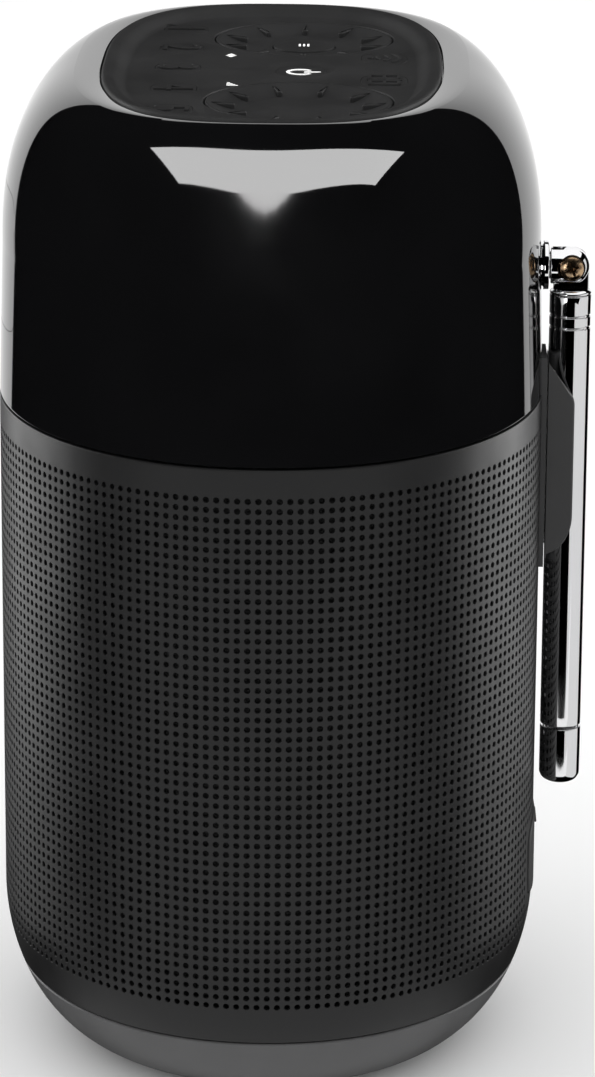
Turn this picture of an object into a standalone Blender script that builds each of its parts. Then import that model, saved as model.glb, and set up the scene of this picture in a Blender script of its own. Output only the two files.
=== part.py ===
"""Portable tabletop radio: an oval grille body under a gloss cap, with dials on top and a folding antenna.

Sizes are in millimetres and are turned into metres where a mesh or a place is made. +Z is up and z = 0 is
the table. The display faces -Y and the antenna hangs down the back, at +Y. The listener's right is +X.
"""

import math

import bmesh
import bpy
from mathutils import Matrix, Vector

MM = 0.001
GAP = 0.3  # running and fitting clearance between neighbouring pieces

# Body outline: half widths of the oval, and how its section changes with height
BODY_X = 59.0
BODY_Y = 50.3
BODY_POWER = 2.05
BASE_X = 34.0
BASE_Y = 30.0
BASE_ROUND_TOP = 29.0
BASE_ROUND_POWER = 1.95
BASE_BOTTOM = 0.8
BASE_SEAM = 15.6
CAP_SEAM = 125.0
CAP_TOP = 185.6
CAP_DRAFT_Y = 49.5
SHOULDER_Y_START = 153.0
SHOULDER_X_START = 174.0
SHOULDER_TOP = 186.2
SHOULDER_POWER = 2.2
TOP_X = 55.8
TOP_Y = 31.2
TOP_POWER = 2.8
SIDES = 48

# Display window in the front of the cap
WINDOW_HALF_X = 24.0
WINDOW_LOW = 139.0
WINDOW_HIGH = 165.0
CAP_WALL = 2.4

# Control pad and its controls
PAD_BOTTOM = 181.6
PAD_PLANE = 184.0
PAD_RIM_TOP = 186.0
PAD_RIM_WIDTH = 4.2
DIAL_X = 29.3
DIAL_Y = 5.2
DIAL_RADIUS = 16.55
DIAL_DISH = 1.6
DIAL_BOTTOM = 180.6
KEY_BOTTOM = 179.6
KEY_STEM_BOTTOM = 175.6
PRESET_Y = -17.3
PRESET_PITCH = 18.8
PRESET_HALF = 4.1
BOARD_TOP = 174.0
BOARD_THICK = 1.6
KEY_STEM_RADIUS = 1.5
MENU_KEY_RADIUS = 5.75
LEDGE_INSET = 3.3

# Telescopic antenna
PIVOT_Y = 55.2
PIVOT_Z = 147.8
STUD_RADIUS = 3.45
ROD_RADIUS = 3.9
TUBE_TOP = 142.6
TUBE_BOTTOM = 58.9
TIP_TOP = 58.4
TIP_BOTTOM = 47.4
SECTION_TOP = 131.0
SECTION_RADII = (3.25, 2.65, 2.05, 1.45)
SECTION_WALL = 0.3
ROD_CORE_RADIUS = 0.85

# Antenna cradle on the back
CRADLE_LOW = 91.2
CRADLE_HIGH = 131.4
CRADLE_FLOOR_Y = 51.0
CRADLE_DEPTH_Y = 47.3
CRADLE_HALF_X = 5.45
LIP_INNER_X = 4.25
LIP_OUTER_Y = 56.2
CRADLE_SCREWS_Z = (98.0, 118.0)
CRADLE_SCREW_SHANK = 4.0

# Sound box, driver and battery
BOX_BOTTOM = 6.0
BOX_TOP = 122.0
BOX_WALL = 2.0
DRIVER_Z = 82.0
BAFFLE_Y = 38.5
BAFFLE_THICK = 3.0
DRIVER_RADIUS = 29.0
CELL_RADIUS = 9.2
CELL_LENGTH = 65.0

# Rear connectors
PORT_Z = 35.0
PORT_HALF_X = 14.0
PORT_HALF_Z = 7.0
PORT_FACE_Y = 47.0
BEZEL_THICK = 2.4
CHARGE_X = 5.5
AUDIO_X = -6.0

# Base screws, and each key's name, centre and cap outline (half widths and power)
BASE_SCREWS = [(sx * 21.0, sy * 15.0) for sx in (-1, 1) for sy in (-1, 1)]
KEYS = [
    ("power_key", (0.0, DIAL_Y), (5.6, 4.6, 2.0)),
    ("wireless_key", (-10.4, 20.3), (4.6, 4.2, 3.0)),
    ("source_key", (10.4, 20.3), (5.0, 4.2, 3.0)),
]
KEYS += [
    (f"preset_key_{n}", (PRESET_PITCH * (n - 3), PRESET_Y), (PRESET_HALF, PRESET_HALF, 3.0))
    for n in range(1, 6)
]


def material(name, colour, roughness, metallic=0.0):
    """A plain Principled material."""
    made = bpy.data.materials.new(name)
    made.use_nodes = True
    shader = made.node_tree.nodes["Principled BSDF"]
    shader.inputs["Base Color"].default_value = (*colour, 1.0)
    shader.inputs["Roughness"].default_value = roughness
    shader.inputs["Metallic"].default_value = metallic
    return made


def superellipse(half_x, half_y, power, z, count=SIDES):
    """One closed outline at height z, counter-clockwise seen from above."""
    ring = []
    for i in range(count):
        angle = 2 * math.pi * i / count
        c, s = math.cos(angle), math.sin(angle)
        x = half_x * math.copysign(abs(c) ** (2 / power), c)
        y = half_y * math.copysign(abs(s) ** (2 / power), s)
        ring.append((x, y, z))
    return ring


def body_section(z):
    """Half widths and power of the body's outer surface at height z."""
    if z < BASE_ROUND_TOP:
        t = (BASE_ROUND_TOP - z) / BASE_ROUND_TOP
        k = (1 - t**BASE_ROUND_POWER) ** (1 / BASE_ROUND_POWER)
        return BASE_X + (BODY_X - BASE_X) * k, BASE_Y + (BODY_Y - BASE_Y) * k, BODY_POWER
    if z <= CAP_SEAM:
        return BODY_X, BODY_Y, BODY_POWER
    rise = (z - CAP_SEAM) / (SHOULDER_TOP - CAP_SEAM)
    power = BODY_POWER + (TOP_POWER - BODY_POWER) * rise**4
    draft = min(1.0, (z - CAP_SEAM) / (SHOULDER_Y_START - CAP_SEAM))
    wide = BODY_Y + (CAP_DRAFT_Y - BODY_Y) * draft
    t_y = max(0.0, (z - SHOULDER_Y_START) / (SHOULDER_TOP - SHOULDER_Y_START))
    t_x = max(0.0, (z - SHOULDER_X_START) / (SHOULDER_TOP - SHOULDER_X_START))
    k_y = (1 - t_y**SHOULDER_POWER) ** (1 / SHOULDER_POWER)
    k_x = (1 - t_x**SHOULDER_POWER) ** (1 / SHOULDER_POWER)
    return TOP_X + (BODY_X - TOP_X) * k_x, TOP_Y + (wide - TOP_Y) * k_y, power


def body_ring(z, inset=0.0, count=SIDES):
    """The body's outline at height z, moved inwards by inset."""
    half_x, half_y, power = body_section(z)
    return superellipse(half_x - inset, half_y - inset, power, z, count)


def circle(radius, z, count):
    """One circle at height z."""
    return superellipse(radius, radius, 2.0, z, count)


def skin(rings, hollow):
    """Joins rings of one length into a closed body: a tube when hollow, else capped at both ends."""
    mesh = bmesh.new()
    rows = [[mesh.verts.new(point) for point in ring] for ring in rings]
    pairs = list(zip(rows, rows[1:]))
    if hollow:
        pairs.append((rows[-1], rows[0]))
    count = len(rows[0])
    for low, high in pairs:
        for i in range(count):
            j = (i + 1) % count
            mesh.faces.new((low[i], low[j], high[j], high[i]))
    if not hollow:
        mesh.faces.new(list(reversed(rows[0])))
        mesh.faces.new(rows[-1])
    return mesh


def at_height(outline, z):
    """An outline moved to a height."""
    return [(x, y, z) for x, y, _ in outline]


def slab(outline, low, high):
    """A plate of one outline between two heights."""
    return skin([at_height(outline, low), at_height(outline, high)], hollow=False)


def box(low, high):
    """An upright box between two corners."""
    (x0, y0, z0), (x1, y1, z1) = low, high
    rings = [[(x0, y0, z), (x1, y0, z), (x1, y1, z), (x0, y1, z)] for z in (z0, z1)]
    return skin(rings, hollow=False)


def turned(profile, count, hollow=False):
    """A body turned about +Z from (radius, height) points, up its outside and down its inside if hollow."""
    return skin([circle(radius, z, count) for radius, z in profile], hollow)


def lying(mesh, direction, centre):
    """Turns a body made along +Z to lie along a direction, and moves its own origin to centre."""
    turn = Vector((0, 0, 1)).rotation_difference(Vector(direction)).to_matrix().to_4x4()
    mesh.transform(Matrix.Translation(Vector(centre)) @ turn)
    return mesh


def moved(mesh, offset):
    """Moves a body."""
    mesh.transform(Matrix.Translation(Vector(offset)))
    return mesh


def add(name, mesh, finish, origin=(0.0, 0.0, 0.0), crease=35.0):
    """Makes a named object in metres from a bmesh in millimetres, with its origin at the place given."""
    mesh.transform(Matrix.Translation(-Vector(origin)))
    mesh.transform(Matrix.Scale(MM, 4))
    data = bpy.data.meshes.new(name)
    mesh.to_mesh(data)
    mesh.free()
    data.shade_smooth()
    data.set_sharp_from_angle(angle=math.radians(crease))
    data.materials.append(finish)
    made = bpy.data.objects.new(name, data)
    made.location = Vector(origin) * MM
    bpy.context.scene.collection.objects.link(made)
    return made


def change(target, mesh, operation="DIFFERENCE"):
    """Cuts a body out of an object, joins it on, or keeps what they share."""
    finish = target.data.materials[0]
    tool = add(f"{target.name}_tool", mesh, finish)
    tool.hide_render = True
    tool.display_type = "WIRE"
    modifier = target.modifiers.new(operation.title(), "BOOLEAN")
    modifier.operation = operation
    modifier.solver = "EXACT"
    modifier.object = tool
    return target


def shell_rings(heights, wall):
    """Rings up the body's outer surface and down the inside of a wall."""
    outside = [body_ring(z) for z in heights]
    inside = [body_ring(z, wall) for z in reversed(heights)]
    return outside + inside


def build_base(plastic, rubber, steel):
    """The rounded base cup, its foot pad and the four screws that hold it to the sound box."""
    recess_x, recess_y, recess_top = 31.0, 27.0, 1.9
    floor, wall = 5.4, 2.2
    rings = [superellipse(recess_x + GAP, recess_y + GAP, BODY_POWER, recess_top)]
    rings.append(superellipse(recess_x + GAP, recess_y + GAP, BODY_POWER, BASE_BOTTOM))
    rings += [body_ring(z) for z in (BASE_BOTTOM, 1.8, 3.2, 5.2, 8.0, 11.5, BASE_SEAM)]
    rings += [body_ring(z, wall) for z in (BASE_SEAM, 11.5, 8.0)]
    rings.append(body_ring(floor, 4.0))
    cup = add("base_cup", skin(rings, hollow=False), plastic)
    foot = superellipse(recess_x, recess_y, BODY_POWER, 0.0)
    add("foot_pad", slab(foot, 0.0, recess_top - GAP), rubber)
    for number, (x, y) in enumerate(BASE_SCREWS, start=1):
        change(cup, moved(turned([(1.6, 0.0), (1.6, 9.0)], 12), (x, y, 0.0)))
        change(cup, moved(turned([(3.0, 1.0), (3.0, 3.8)], 16), (x, y, 0.0)))
        shape = [(2.7, 2.1), (2.7, 3.5), (1.3, 3.5), (1.3, 9.6)]
        add(f"base_screw_{number}", moved(turned(shape, 12), (x, y, 0.0)), steel)


def build_grille(metal):
    """The oval grille sleeve, with a slot for the antenna cradle and a window for the rear connectors."""
    heights = (BASE_SEAM + GAP, 18.5, 21.5, 25.0, BASE_ROUND_TOP, CAP_SEAM - GAP)
    sleeve = add("grille_sleeve", skin(shell_rings(heights, 0.8), hollow=True), metal)
    half = CRADLE_HALF_X + GAP
    change(sleeve, box((-half, 40.0, CRADLE_LOW - GAP), (half, 60.0, CAP_SEAM + 5.0)))
    window = superellipse(PORT_HALF_X + GAP, PORT_HALF_Z + GAP, 5.0, 0.0, 24)
    change(sleeve, lying(slab(window, 0.0, 20.0), (0, 1, 0), (0, 40.0, PORT_Z)))


def housing_shell():
    """The gloss cap: outside, the opening for the pad with the ledge it rests on, and the inside."""
    ledge = PAD_BOTTOM - GAP
    opening = (TOP_X - 0.1, TOP_Y - 0.1)
    through = (TOP_X - LEDGE_INSET, TOP_Y - LEDGE_INSET + 0.4)
    outside = (CAP_SEAM, 139.0, SHOULDER_Y_START, 161.0, 168.0, 174.0, 178.5, 181.8, 184.2, CAP_TOP)
    rings = [body_ring(z) for z in outside]
    rings.append(superellipse(*opening, TOP_POWER, CAP_TOP))
    rings.append(superellipse(*opening, TOP_POWER, ledge))
    rings.append(superellipse(*through, TOP_POWER, ledge))
    rings.append(superellipse(*through, TOP_POWER, ledge - 1.8))
    rings += [body_ring(z, CAP_WALL) for z in (175.0, 168.0, 161.0, SHOULDER_Y_START, CAP_SEAM)]
    return skin(rings, hollow=True)


def build_cap(gloss, window, dark):
    """The gloss cap with the display window let into its front, and the display behind it."""
    low = Vector((-WINDOW_HALF_X, -60.0, WINDOW_LOW))
    high = Vector((WINDOW_HALF_X, -30.0, WINDOW_HIGH))
    grow = Vector((GAP, GAP, GAP))
    cap = add("glossy_housing", housing_shell(), gloss)
    change(cap, box(low - grow, high + grow))
    half = CRADLE_HALF_X + GAP
    change(cap, box((-half, 40.0, CAP_SEAM - 5.0), (half, 60.0, CRADLE_HIGH + GAP)))
    change(cap, lying(turned([(4.2, 0.0), (4.2, 20.0)], 24), (0, 1, 0), (0, 40.0, PIVOT_Z)))
    pane = add("display_window", housing_shell(), window)
    change(pane, box(low, high), "INTERSECT")
    add("lcd_module", box((-21.0, -41.8, 141.0), (21.0, -38.6, 163.0)), dark)


def build_pad(rubber):
    """The soft control pad with its raised rim, cut for the dials and the keys."""
    inner_x, inner_y = TOP_X - 0.4 - PAD_RIM_WIDTH, TOP_Y - 0.4 - PAD_RIM_WIDTH
    rings = [
        superellipse(TOP_X - 0.4, TOP_Y - 0.4, TOP_POWER, PAD_BOTTOM),
        superellipse(TOP_X - 0.4, TOP_Y - 0.4, TOP_POWER, PAD_RIM_TOP - 0.5),
        superellipse(TOP_X - 0.9, TOP_Y - 0.9, TOP_POWER, PAD_RIM_TOP),
        superellipse(inner_x + 1.4, inner_y + 1.4, TOP_POWER, PAD_RIM_TOP - 0.3),
        superellipse(inner_x, inner_y, TOP_POWER, PAD_PLANE),
    ]
    pad = add("control_pad", skin(rings, hollow=False), rubber)
    for side in (-1, 1):
        hole = turned([(DIAL_RADIUS + GAP, 170.0), (DIAL_RADIUS + GAP, 200.0)], 32)
        change(pad, moved(hole, (side * DIAL_X, DIAL_Y, 0.0)))
    for _, (x, y), (half_x, half_y, power) in KEYS:
        hole = [superellipse(half_x + GAP, half_y + GAP, power, z, 16) for z in (170.0, 200.0)]
        change(pad, moved(skin(hole, hollow=False), (x, y, 0.0)))


def build_keys(rubber):
    """Each key cap with the stem that presses its switch, its origin on its line of travel."""
    for name, (x, y), (half_x, half_y, power) in KEYS:
        top = PAD_PLANE - 0.5 if name == "power_key" else PAD_PLANE
        rings = [circle(KEY_STEM_RADIUS, z, 16) for z in (KEY_STEM_BOTTOM, KEY_BOTTOM)]
        rings += [superellipse(half_x, half_y, power, z, 16) for z in (KEY_BOTTOM, top)]
        add(name, moved(skin(rings, hollow=False), (x, y, 0.0)), rubber, origin=(x, y, PAD_PLANE))


def build_dials(rubber, metal):
    """Both dials, dished, with hubs; the tuning dial has a key through its middle."""
    tune = (-DIAL_X, DIAL_Y)
    volume = (DIAL_X, DIAL_Y)
    rim, dish = PAD_PLANE, PAD_PLANE - DIAL_DISH
    hub, hub_bottom = 8.4, 176.6
    outside = [(hub, hub_bottom), (hub, DIAL_BOTTOM), (DIAL_RADIUS, DIAL_BOTTOM)]
    outside += [(DIAL_RADIUS, rim), (DIAL_RADIUS - 0.8, rim)]
    bowl = [(13.6, dish + 0.5), (10.0, dish)]
    bore = MENU_KEY_RADIUS + GAP
    inside = [(bore, dish), (bore, hub_bottom)]
    ring = turned(outside + bowl + inside, 32, hollow=True)
    add("tune_dial", moved(ring, (*tune, 0.0)), rubber, origin=(*tune, rim))
    disc = turned(outside + bowl, 32)
    add("volume_dial", moved(disc, (*volume, 0.0)), rubber, origin=(*volume, rim))
    flange = 178.2
    stem = [(KEY_STEM_RADIUS, KEY_STEM_BOTTOM), (KEY_STEM_RADIUS, flange)]
    key = turned([*stem, (MENU_KEY_RADIUS, flange), (MENU_KEY_RADIUS, dish + 0.3)], 16)
    add("menu_key", moved(key, (*tune, 0.0)), rubber, origin=(*tune, rim))
    for name, place in (("tune_encoder", tune), ("volume_encoder", volume)):
        hollow = name == "tune_encoder"
        profile = [(8.0, BOARD_TOP + GAP), (8.0, 176.2)]
        if hollow:
            profile += [(3.2, 176.2), (3.2, BOARD_TOP + GAP)]
        add(name, moved(turned(profile, 16, hollow), (*place, 0.0)), metal)


def build_boards(board):
    """The key board under the pad, with its switches standing on it, and the main board below."""
    outline = superellipse(50.0, 26.5, 3.0, 0.0, 24)
    keys = add("key_board", slab(outline, BOARD_TOP - BOARD_THICK, BOARD_TOP), board)
    half, above = 1.7, 0.7
    for x, y in [place for _, place, _ in KEYS] + [(-DIAL_X, DIAL_Y)]:
        low = (x - half, y - half, BOARD_TOP - BOARD_THICK / 2)
        change(keys, box(low, (x + half, y + half, BOARD_TOP + above)), "UNION")
    main_top = 128.2
    outline = superellipse(44.0, 35.0, 3.0, 0.0, 24)
    main = add("main_board", slab(outline, main_top - BOARD_THICK, main_top), board)
    blocks = [
        ((-30.0, -12.0), (9.0, 9.0), 2.6),
        ((8.0, 4.0), (14.0, 7.0), 3.4),
        ((24.0, -24.0), (8.0, 5.0), 5.0),
    ]
    for (x, y), (wide, deep), tall in blocks:
        low = (x, y, main_top - BOARD_THICK / 2)
        change(main, box(low, (x + wide, y + deep, main_top + tall)), "UNION")


def build_sound_box(plastic):
    """The sealed box inside the grille, with a flat baffle front and back."""
    half = 31.0
    outer = [(44.0, 37.0, BOX_BOTTOM), (50.5, 42.5, 16.0), (54.0, 45.5, 30.0), (54.0, 45.5, BOX_TOP)]
    rings = [superellipse(x, y, BODY_POWER, z, 32) for x, y, z in outer]
    body = add("sound_box", skin(rings, hollow=False), plastic)
    heights = [(BOX_BOTTOM + 2.6, 3.2), (16.0, BOX_WALL), (30.0, BOX_WALL), (BOX_TOP - 2.5, BOX_WALL)]
    cavity = []
    for (x, y, _), (z, wall) in zip(outer, heights):
        cavity.append(superellipse(x - wall, y - wall, BODY_POWER, z, 32))
    change(body, skin(cavity, hollow=False))
    for side in (-1, 1):
        front, back = sorted((side * 60.0, side * BAFFLE_Y))
        change(body, box((-half, front, DRIVER_Z - half), (half, back, DRIVER_Z + half)))
        front, back = sorted((side * BAFFLE_Y, side * (BAFFLE_Y - BAFFLE_THICK)))
        reach = half + 3.4
        change(body, box((-reach, front, DRIVER_Z - reach), (reach, back, DRIVER_Z + reach)), "UNION")
    hole = lying(turned([(26.4, -60.0), (26.4, 60.0)], 32), (0, 1, 0), (0, 0, DRIVER_Z))
    change(body, hole)
    change(body, box((-16.5, 40.0, PORT_Z - 9.2), (16.5, 60.0, PORT_Z + 9.2)))
    for x, y in BASE_SCREWS:
        change(body, moved(turned([(1.6, 0.0), (1.6, 14.0)], 12), (x, y, 0.0)))
    change(body, lying(turned([(1.6, 40.0), (1.6, 60.0)], 12), (0, 1, 0), (0, 0, CRADLE_SCREWS_Z[1])))


def facing(mesh, side):
    """Lays a body turned about +Z so that +Z faces out of the front (-1) or the back (+1) baffle."""
    return lying(mesh, (0, side, 0), (0, side * BAFFLE_Y, DRIVER_Z))


def build_driver(steel, paper, foam, magnet):
    """The front driver and the rear passive radiator, each with a moving part on a soft surround."""
    axis = (0.0, -BAFFLE_Y, DRIVER_Z)
    basket = [
        (13.4, -19.0), (25.6, -1.0), (25.6, GAP), (DRIVER_RADIUS, GAP), (DRIVER_RADIUS, 1.6),
        (25.6, 1.6), (24.6, -0.4), (12.2, -17.6), (8.4, -17.6), (8.4, -19.0),
    ]
    add("driver_basket", facing(turned(basket, 24, hollow=True), -1), steel)
    add("driver_magnet", facing(turned([(19.0, -29.0), (19.0, -19.4)], 24), -1), magnet)
    cone = [(7.2, -16.6), (7.2, -11.0), (22.2, 0.2), (22.2, 0.9), (21.4, 0.9), (8.0, -9.0), (4.0, -8.0)]
    add("driver_cone", facing(turned(cone, 24), -1), paper, origin=axis)
    ring = [(22.5, 0.4), (23.9, 0.6), (25.3, 1.9), (25.3, 2.5), (23.9, 3.6), (22.5, 1.2)]
    add("driver_surround", facing(turned(ring, 24, hollow=True), -1), foam)
    frame = [(25.6, GAP), (DRIVER_RADIUS, GAP), (DRIVER_RADIUS, 1.6), (25.6, 1.6)]
    add("radiator_frame", facing(turned(frame, 24, hollow=True), 1), steel)
    add("radiator_surround", facing(turned(ring, 24, hollow=True), 1), foam)
    plate = turned([(22.2, 0.2), (22.2, 1.4), (18.0, 1.4), (17.0, 2.0)], 24)
    add("radiator_plate", facing(plate, 1), steel, origin=(0.0, BAFFLE_Y, DRIVER_Z))


def build_battery(wrap):
    """Two cylindrical cells lying side by side low in the sound box."""
    shape = [(CELL_RADIUS, -CELL_LENGTH / 2), (CELL_RADIUS, CELL_LENGTH / 2)]
    for number, side in ((1, -1), (2, 1)):
        cell = lying(turned(shape, 24), (1, 0, 0), (0, side * (CELL_RADIUS + 0.5), 19.5))
        add(f"battery_cell_{number}", cell, wrap)


def build_cradle(plastic, rubber, steel):
    """The block let into the back, the two soft lips that grip the rod, and the block's screws."""
    low = (-CRADLE_HALF_X, CRADLE_DEPTH_Y, CRADLE_LOW)
    block = add("antenna_cradle", box(low, (CRADLE_HALF_X, CRADLE_FLOOR_Y, CRADLE_HIGH)), plastic)
    screw = [(1.3, -CRADLE_SCREW_SHANK), (1.3, 1.4), (2.4, 1.4), (2.4, 2.6)]
    for number, z in enumerate(CRADLE_SCREWS_Z, start=1):
        place = (0.0, CRADLE_DEPTH_Y, z)
        change(block, lying(turned([(1.6, -6.0), (1.6, 6.0)], 12), (0, 1, 0), place))
        change(block, lying(turned([(2.7, 1.1), (2.7, 6.0)], 16), (0, 1, 0), place))
        add(f"cradle_screw_{number}", lying(turned(screw, 12), (0, 1, 0), place), steel)
    low_y = CRADLE_FLOOR_Y + GAP
    curve = [(LIP_OUTER_Y - 4.6, 93.6), (LIP_OUTER_Y - 2.4, 95.6), (LIP_OUTER_Y - 0.8, 98.2)]
    curve.append((LIP_OUTER_Y, 101.4))
    outline = [(low_y, CRADLE_LOW + 1.2), *curve, (LIP_OUTER_Y, 123.6), (low_y, CRADLE_HIGH - 1.0)]
    for name, x in (("cradle_lip_left", -CRADLE_HALF_X), ("cradle_lip_right", LIP_INNER_X)):
        thick = CRADLE_HALF_X - LIP_INNER_X
        rings = [[(x, y, z) for y, z in outline], [(x + thick, y, z) for y, z in outline]]
        add(name, skin(rings, hollow=False), rubber)


def back_surface(x):
    """How far back the body's straight wall stands at a place across its back."""
    return BODY_Y * (1 - abs(x / BODY_X) ** BODY_POWER) ** (1 / BODY_POWER)


def build_ports(plastic, rubber, steel):
    """The rear connector bezel with its two sockets, and the soft cover hinged along its lower edge."""
    back = (0, 1, 0)
    plate = superellipse(PORT_HALF_X + 1.5, PORT_HALF_Z + 1.5, 4.0, 0.0, 24)
    plate = lying(slab(plate, -BEZEL_THICK, 0.0), back, (0, PORT_FACE_Y, PORT_Z))
    bezel = add("port_bezel", plate, plastic)
    hole = superellipse(4.5 + GAP, 1.6 + GAP, 4.0, 0.0, 16)
    change(bezel, lying(slab(hole, -6.0, 6.0), back, (CHARGE_X, PORT_FACE_Y, PORT_Z)))
    change(bezel, lying(turned([(3.4, -6.0), (3.4, 6.0)], 16), back, (AUDIO_X, PORT_FACE_Y, PORT_Z)))
    shell = superellipse(4.5, 1.6, 4.0, 0.0, 16)
    mouth = superellipse(3.9, 1.1, 4.0, 0.0, 16)
    rings = [at_height(shell, -6.4), at_height(shell, 0.0), at_height(mouth, 0.0), at_height(mouth, -5.6)]
    socket = lying(skin(rings, hollow=False), back, (CHARGE_X, PORT_FACE_Y, PORT_Z))
    add("charge_socket", socket, steel)
    jack = [(3.1, -6.4), (3.1, 0.0), (1.8, 0.0), (1.8, -5.6)]
    add("audio_socket", lying(turned(jack, 16), back, (AUDIO_X, PORT_FACE_Y, PORT_Z)), plastic)
    proud, sunk = 0.35, 1.5
    stations = 13
    rings = []
    for i in range(stations):
        angle = math.pi * (1 - i / (stations - 1))
        x = PORT_HALF_X * math.cos(angle)
        half = PORT_HALF_Z * max(0.3, (1 - abs(math.cos(angle)) ** 5) ** 0.2)
        outer, inner = back_surface(x) + proud, back_surface(x) - sunk
        low, high = PORT_Z - half, PORT_Z + half
        rings.append([(x, inner, low), (x, inner, high), (x, outer, high), (x, outer, low)])
    hinge = (0.0, back_surface(0.0) + proud, PORT_Z - PORT_HALF_Z)
    cover = skin(rings, hollow=False)
    bmesh.ops.recalc_face_normals(cover, faces=cover.faces)
    add("port_cover", cover, rubber, origin=hinge)


def build_pivot(chrome, brass):
    """The antenna's bushing, swivel stud with its nut, and the screw that the rod tilts on."""
    at = (0.0, 0.0, PIVOT_Z)
    swivel = (0.0, PIVOT_Y, PIVOT_Z)
    bushing = [(3.9, 45.4), (3.9, 50.0), (4.6, 50.0), (4.6, 51.0), (2.8, 51.0), (2.8, 45.4)]
    add("antenna_bushing", lying(turned(bushing, 24, hollow=True), (0, 1, 0), at), chrome)
    barrel = [(2.5, 42.4), (2.5, 51.3), (STUD_RADIUS, 51.3), (STUD_RADIUS, 56.6), (3.1, 57.9), (2.2, 58.7)]
    stud = add("antenna_stud", lying(turned(barrel, 24), (0, 1, 0), at), chrome, origin=swivel)
    change(stud, box((-1.35, 51.7, 140.0), (1.35, 62.0, 156.0)))
    change(stud, lying(turned([(1.5, -8.0), (1.5, 8.0)], 16), (1, 0, 0), swivel))
    change(stud, lying(turned([(2.5, 2.2), (2.5, 8.0)], 24), (1, 0, 0), swivel))
    nut = turned([(4.6, 42.8), (4.6, 45.0), (3.25, 45.0), (3.25, 42.8)], 6, hollow=True)
    add("antenna_nut", lying(nut, (0, 1, 0), at), brass, origin=swivel)
    screw = turned([(1.2, -3.1), (1.2, 2.5), (2.2, 2.5), (2.2, 3.3), (1.6, 3.7)], 20)
    add("pivot_screw", lying(screw, (1, 0, 0), swivel), brass, origin=swivel)


def build_rod(chrome):
    """The tilting knuckle, the outer tube and the sections that slide out of it, down to the tip."""
    pivot = (0.0, PIVOT_Y, PIVOT_Z)
    tongue_radius, tongue_half = 3.3, 1.05
    outline = [(tongue_radius, 142.5 - PIVOT_Z), (tongue_radius, 0.0)]
    for i in range(1, 12):
        angle = math.pi * i / 12
        outline.append((tongue_radius * math.cos(angle), tongue_radius * math.sin(angle)))
    outline += [(-tongue_radius, 0.0), (-tongue_radius, 142.5 - PIVOT_Z)]
    sides = (-tongue_half, tongue_half)
    rings = [[(x, PIVOT_Y + y, PIVOT_Z + z) for y, z in outline] for x in sides]
    knuckle = add("antenna_knuckle", skin(rings, hollow=False), chrome, origin=pivot)
    plug = [(2.9, 133.5), (2.9, TUBE_TOP + GAP), (ROD_RADIUS, TUBE_TOP + GAP), (ROD_RADIUS, 143.5)]
    plug = turned(plug, 24)
    change(knuckle, moved(plug, (0, PIVOT_Y, 0)), "UNION")
    change(knuckle, lying(turned([(1.5, -8.0), (1.5, 8.0)], 16), (1, 0, 0), pivot))
    inner = SECTION_RADII[0] + GAP
    tube = [(ROD_RADIUS, TUBE_BOTTOM), (ROD_RADIUS, TUBE_TOP), (inner, TUBE_TOP), (inner, TUBE_BOTTOM)]
    add("antenna_tube", moved(turned(tube, 16, hollow=True), (0, PIVOT_Y, 0)), chrome, origin=pivot)
    for number, radius in enumerate(SECTION_RADII, start=2):
        top = SECTION_TOP - 0.8 * (number - 2)
        bore = radius - SECTION_WALL
        tube = [(radius, TUBE_BOTTOM), (radius, top), (bore, top), (bore, TUBE_BOTTOM)]
        name = f"antenna_section_{number}"
        add(name, moved(turned(tube, 16, hollow=True), (0, PIVOT_Y, 0)), chrome, origin=pivot)
    rod = [(ROD_CORE_RADIUS, TIP_TOP + GAP), (ROD_CORE_RADIUS, SECTION_TOP - 4.0)]
    add("antenna_rod", moved(turned(rod, 8), (0, PIVOT_Y, 0)), chrome, origin=pivot)
    tip = [(2.4, TIP_BOTTOM), (3.5, TIP_BOTTOM + 0.5), (ROD_RADIUS, TIP_BOTTOM + 1.6)]
    tip.append((ROD_RADIUS, TIP_TOP))
    add("antenna_tip", moved(turned(tip, 16), (0, PIVOT_Y, 0)), chrome, origin=pivot)


def between(a, b, c, d, t):
    """A smooth curve through b and c, at share t of the way, with a and d their neighbours."""
    square, cube = 2 * a - 5 * b + 4 * c - d, 3 * b - a - 3 * c + d
    return 0.5 * (2 * b + (c - a) * t + square * t**2 + cube * t**3)


def wire(name, points, radius, finish):
    """A soft lead along a smooth curve through the points given."""
    curve = bpy.data.curves.new(name, "CURVE")
    curve.dimensions = "3D"
    curve.bevel_depth = radius * MM
    curve.bevel_resolution = 2
    curve.use_fill_caps = True
    line = curve.splines.new("POLY")
    smooth = []
    steps = 3
    padded = [points[0], *points, points[-1]]
    for a, b, c, d in zip(padded, padded[1:], padded[2:], padded[3:]):
        for step in range(steps):
            t = step / steps
            smooth.append([between(a[k], b[k], c[k], d[k], t) for k in range(3)])
    smooth.append(points[-1])
    line.points.add(len(smooth) - 1)
    for point, place in zip(line.points, smooth):
        point.co = (*(v * MM for v in place), 1.0)
    curve.materials.append(finish)
    made = bpy.data.objects.new(name, curve)
    bpy.context.scene.collection.objects.link(made)


def build_leads(sheath):
    """The antenna's lead to the main board and the key board's lead down to it."""
    aerial = [
        (0.0, 41.6, PIVOT_Z), (1.0, 38.0, 146.5), (3.0, 33.0, 139.0), (4.0, 30.0, 132.0), (4.0, 29.0, 129.0),
    ]
    wire("antenna_lead", aerial, 0.7, sheath)
    drop = [
        (-36.0, 12.0, 171.6), (-38.0, 14.0, 165.0), (-37.0, 16.0, 150.0), (-34.0, 15.0, 136.0),
        (-33.0, 14.0, 129.0),
    ]
    wire("key_board_lead", drop, 1.0, sheath)


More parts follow.
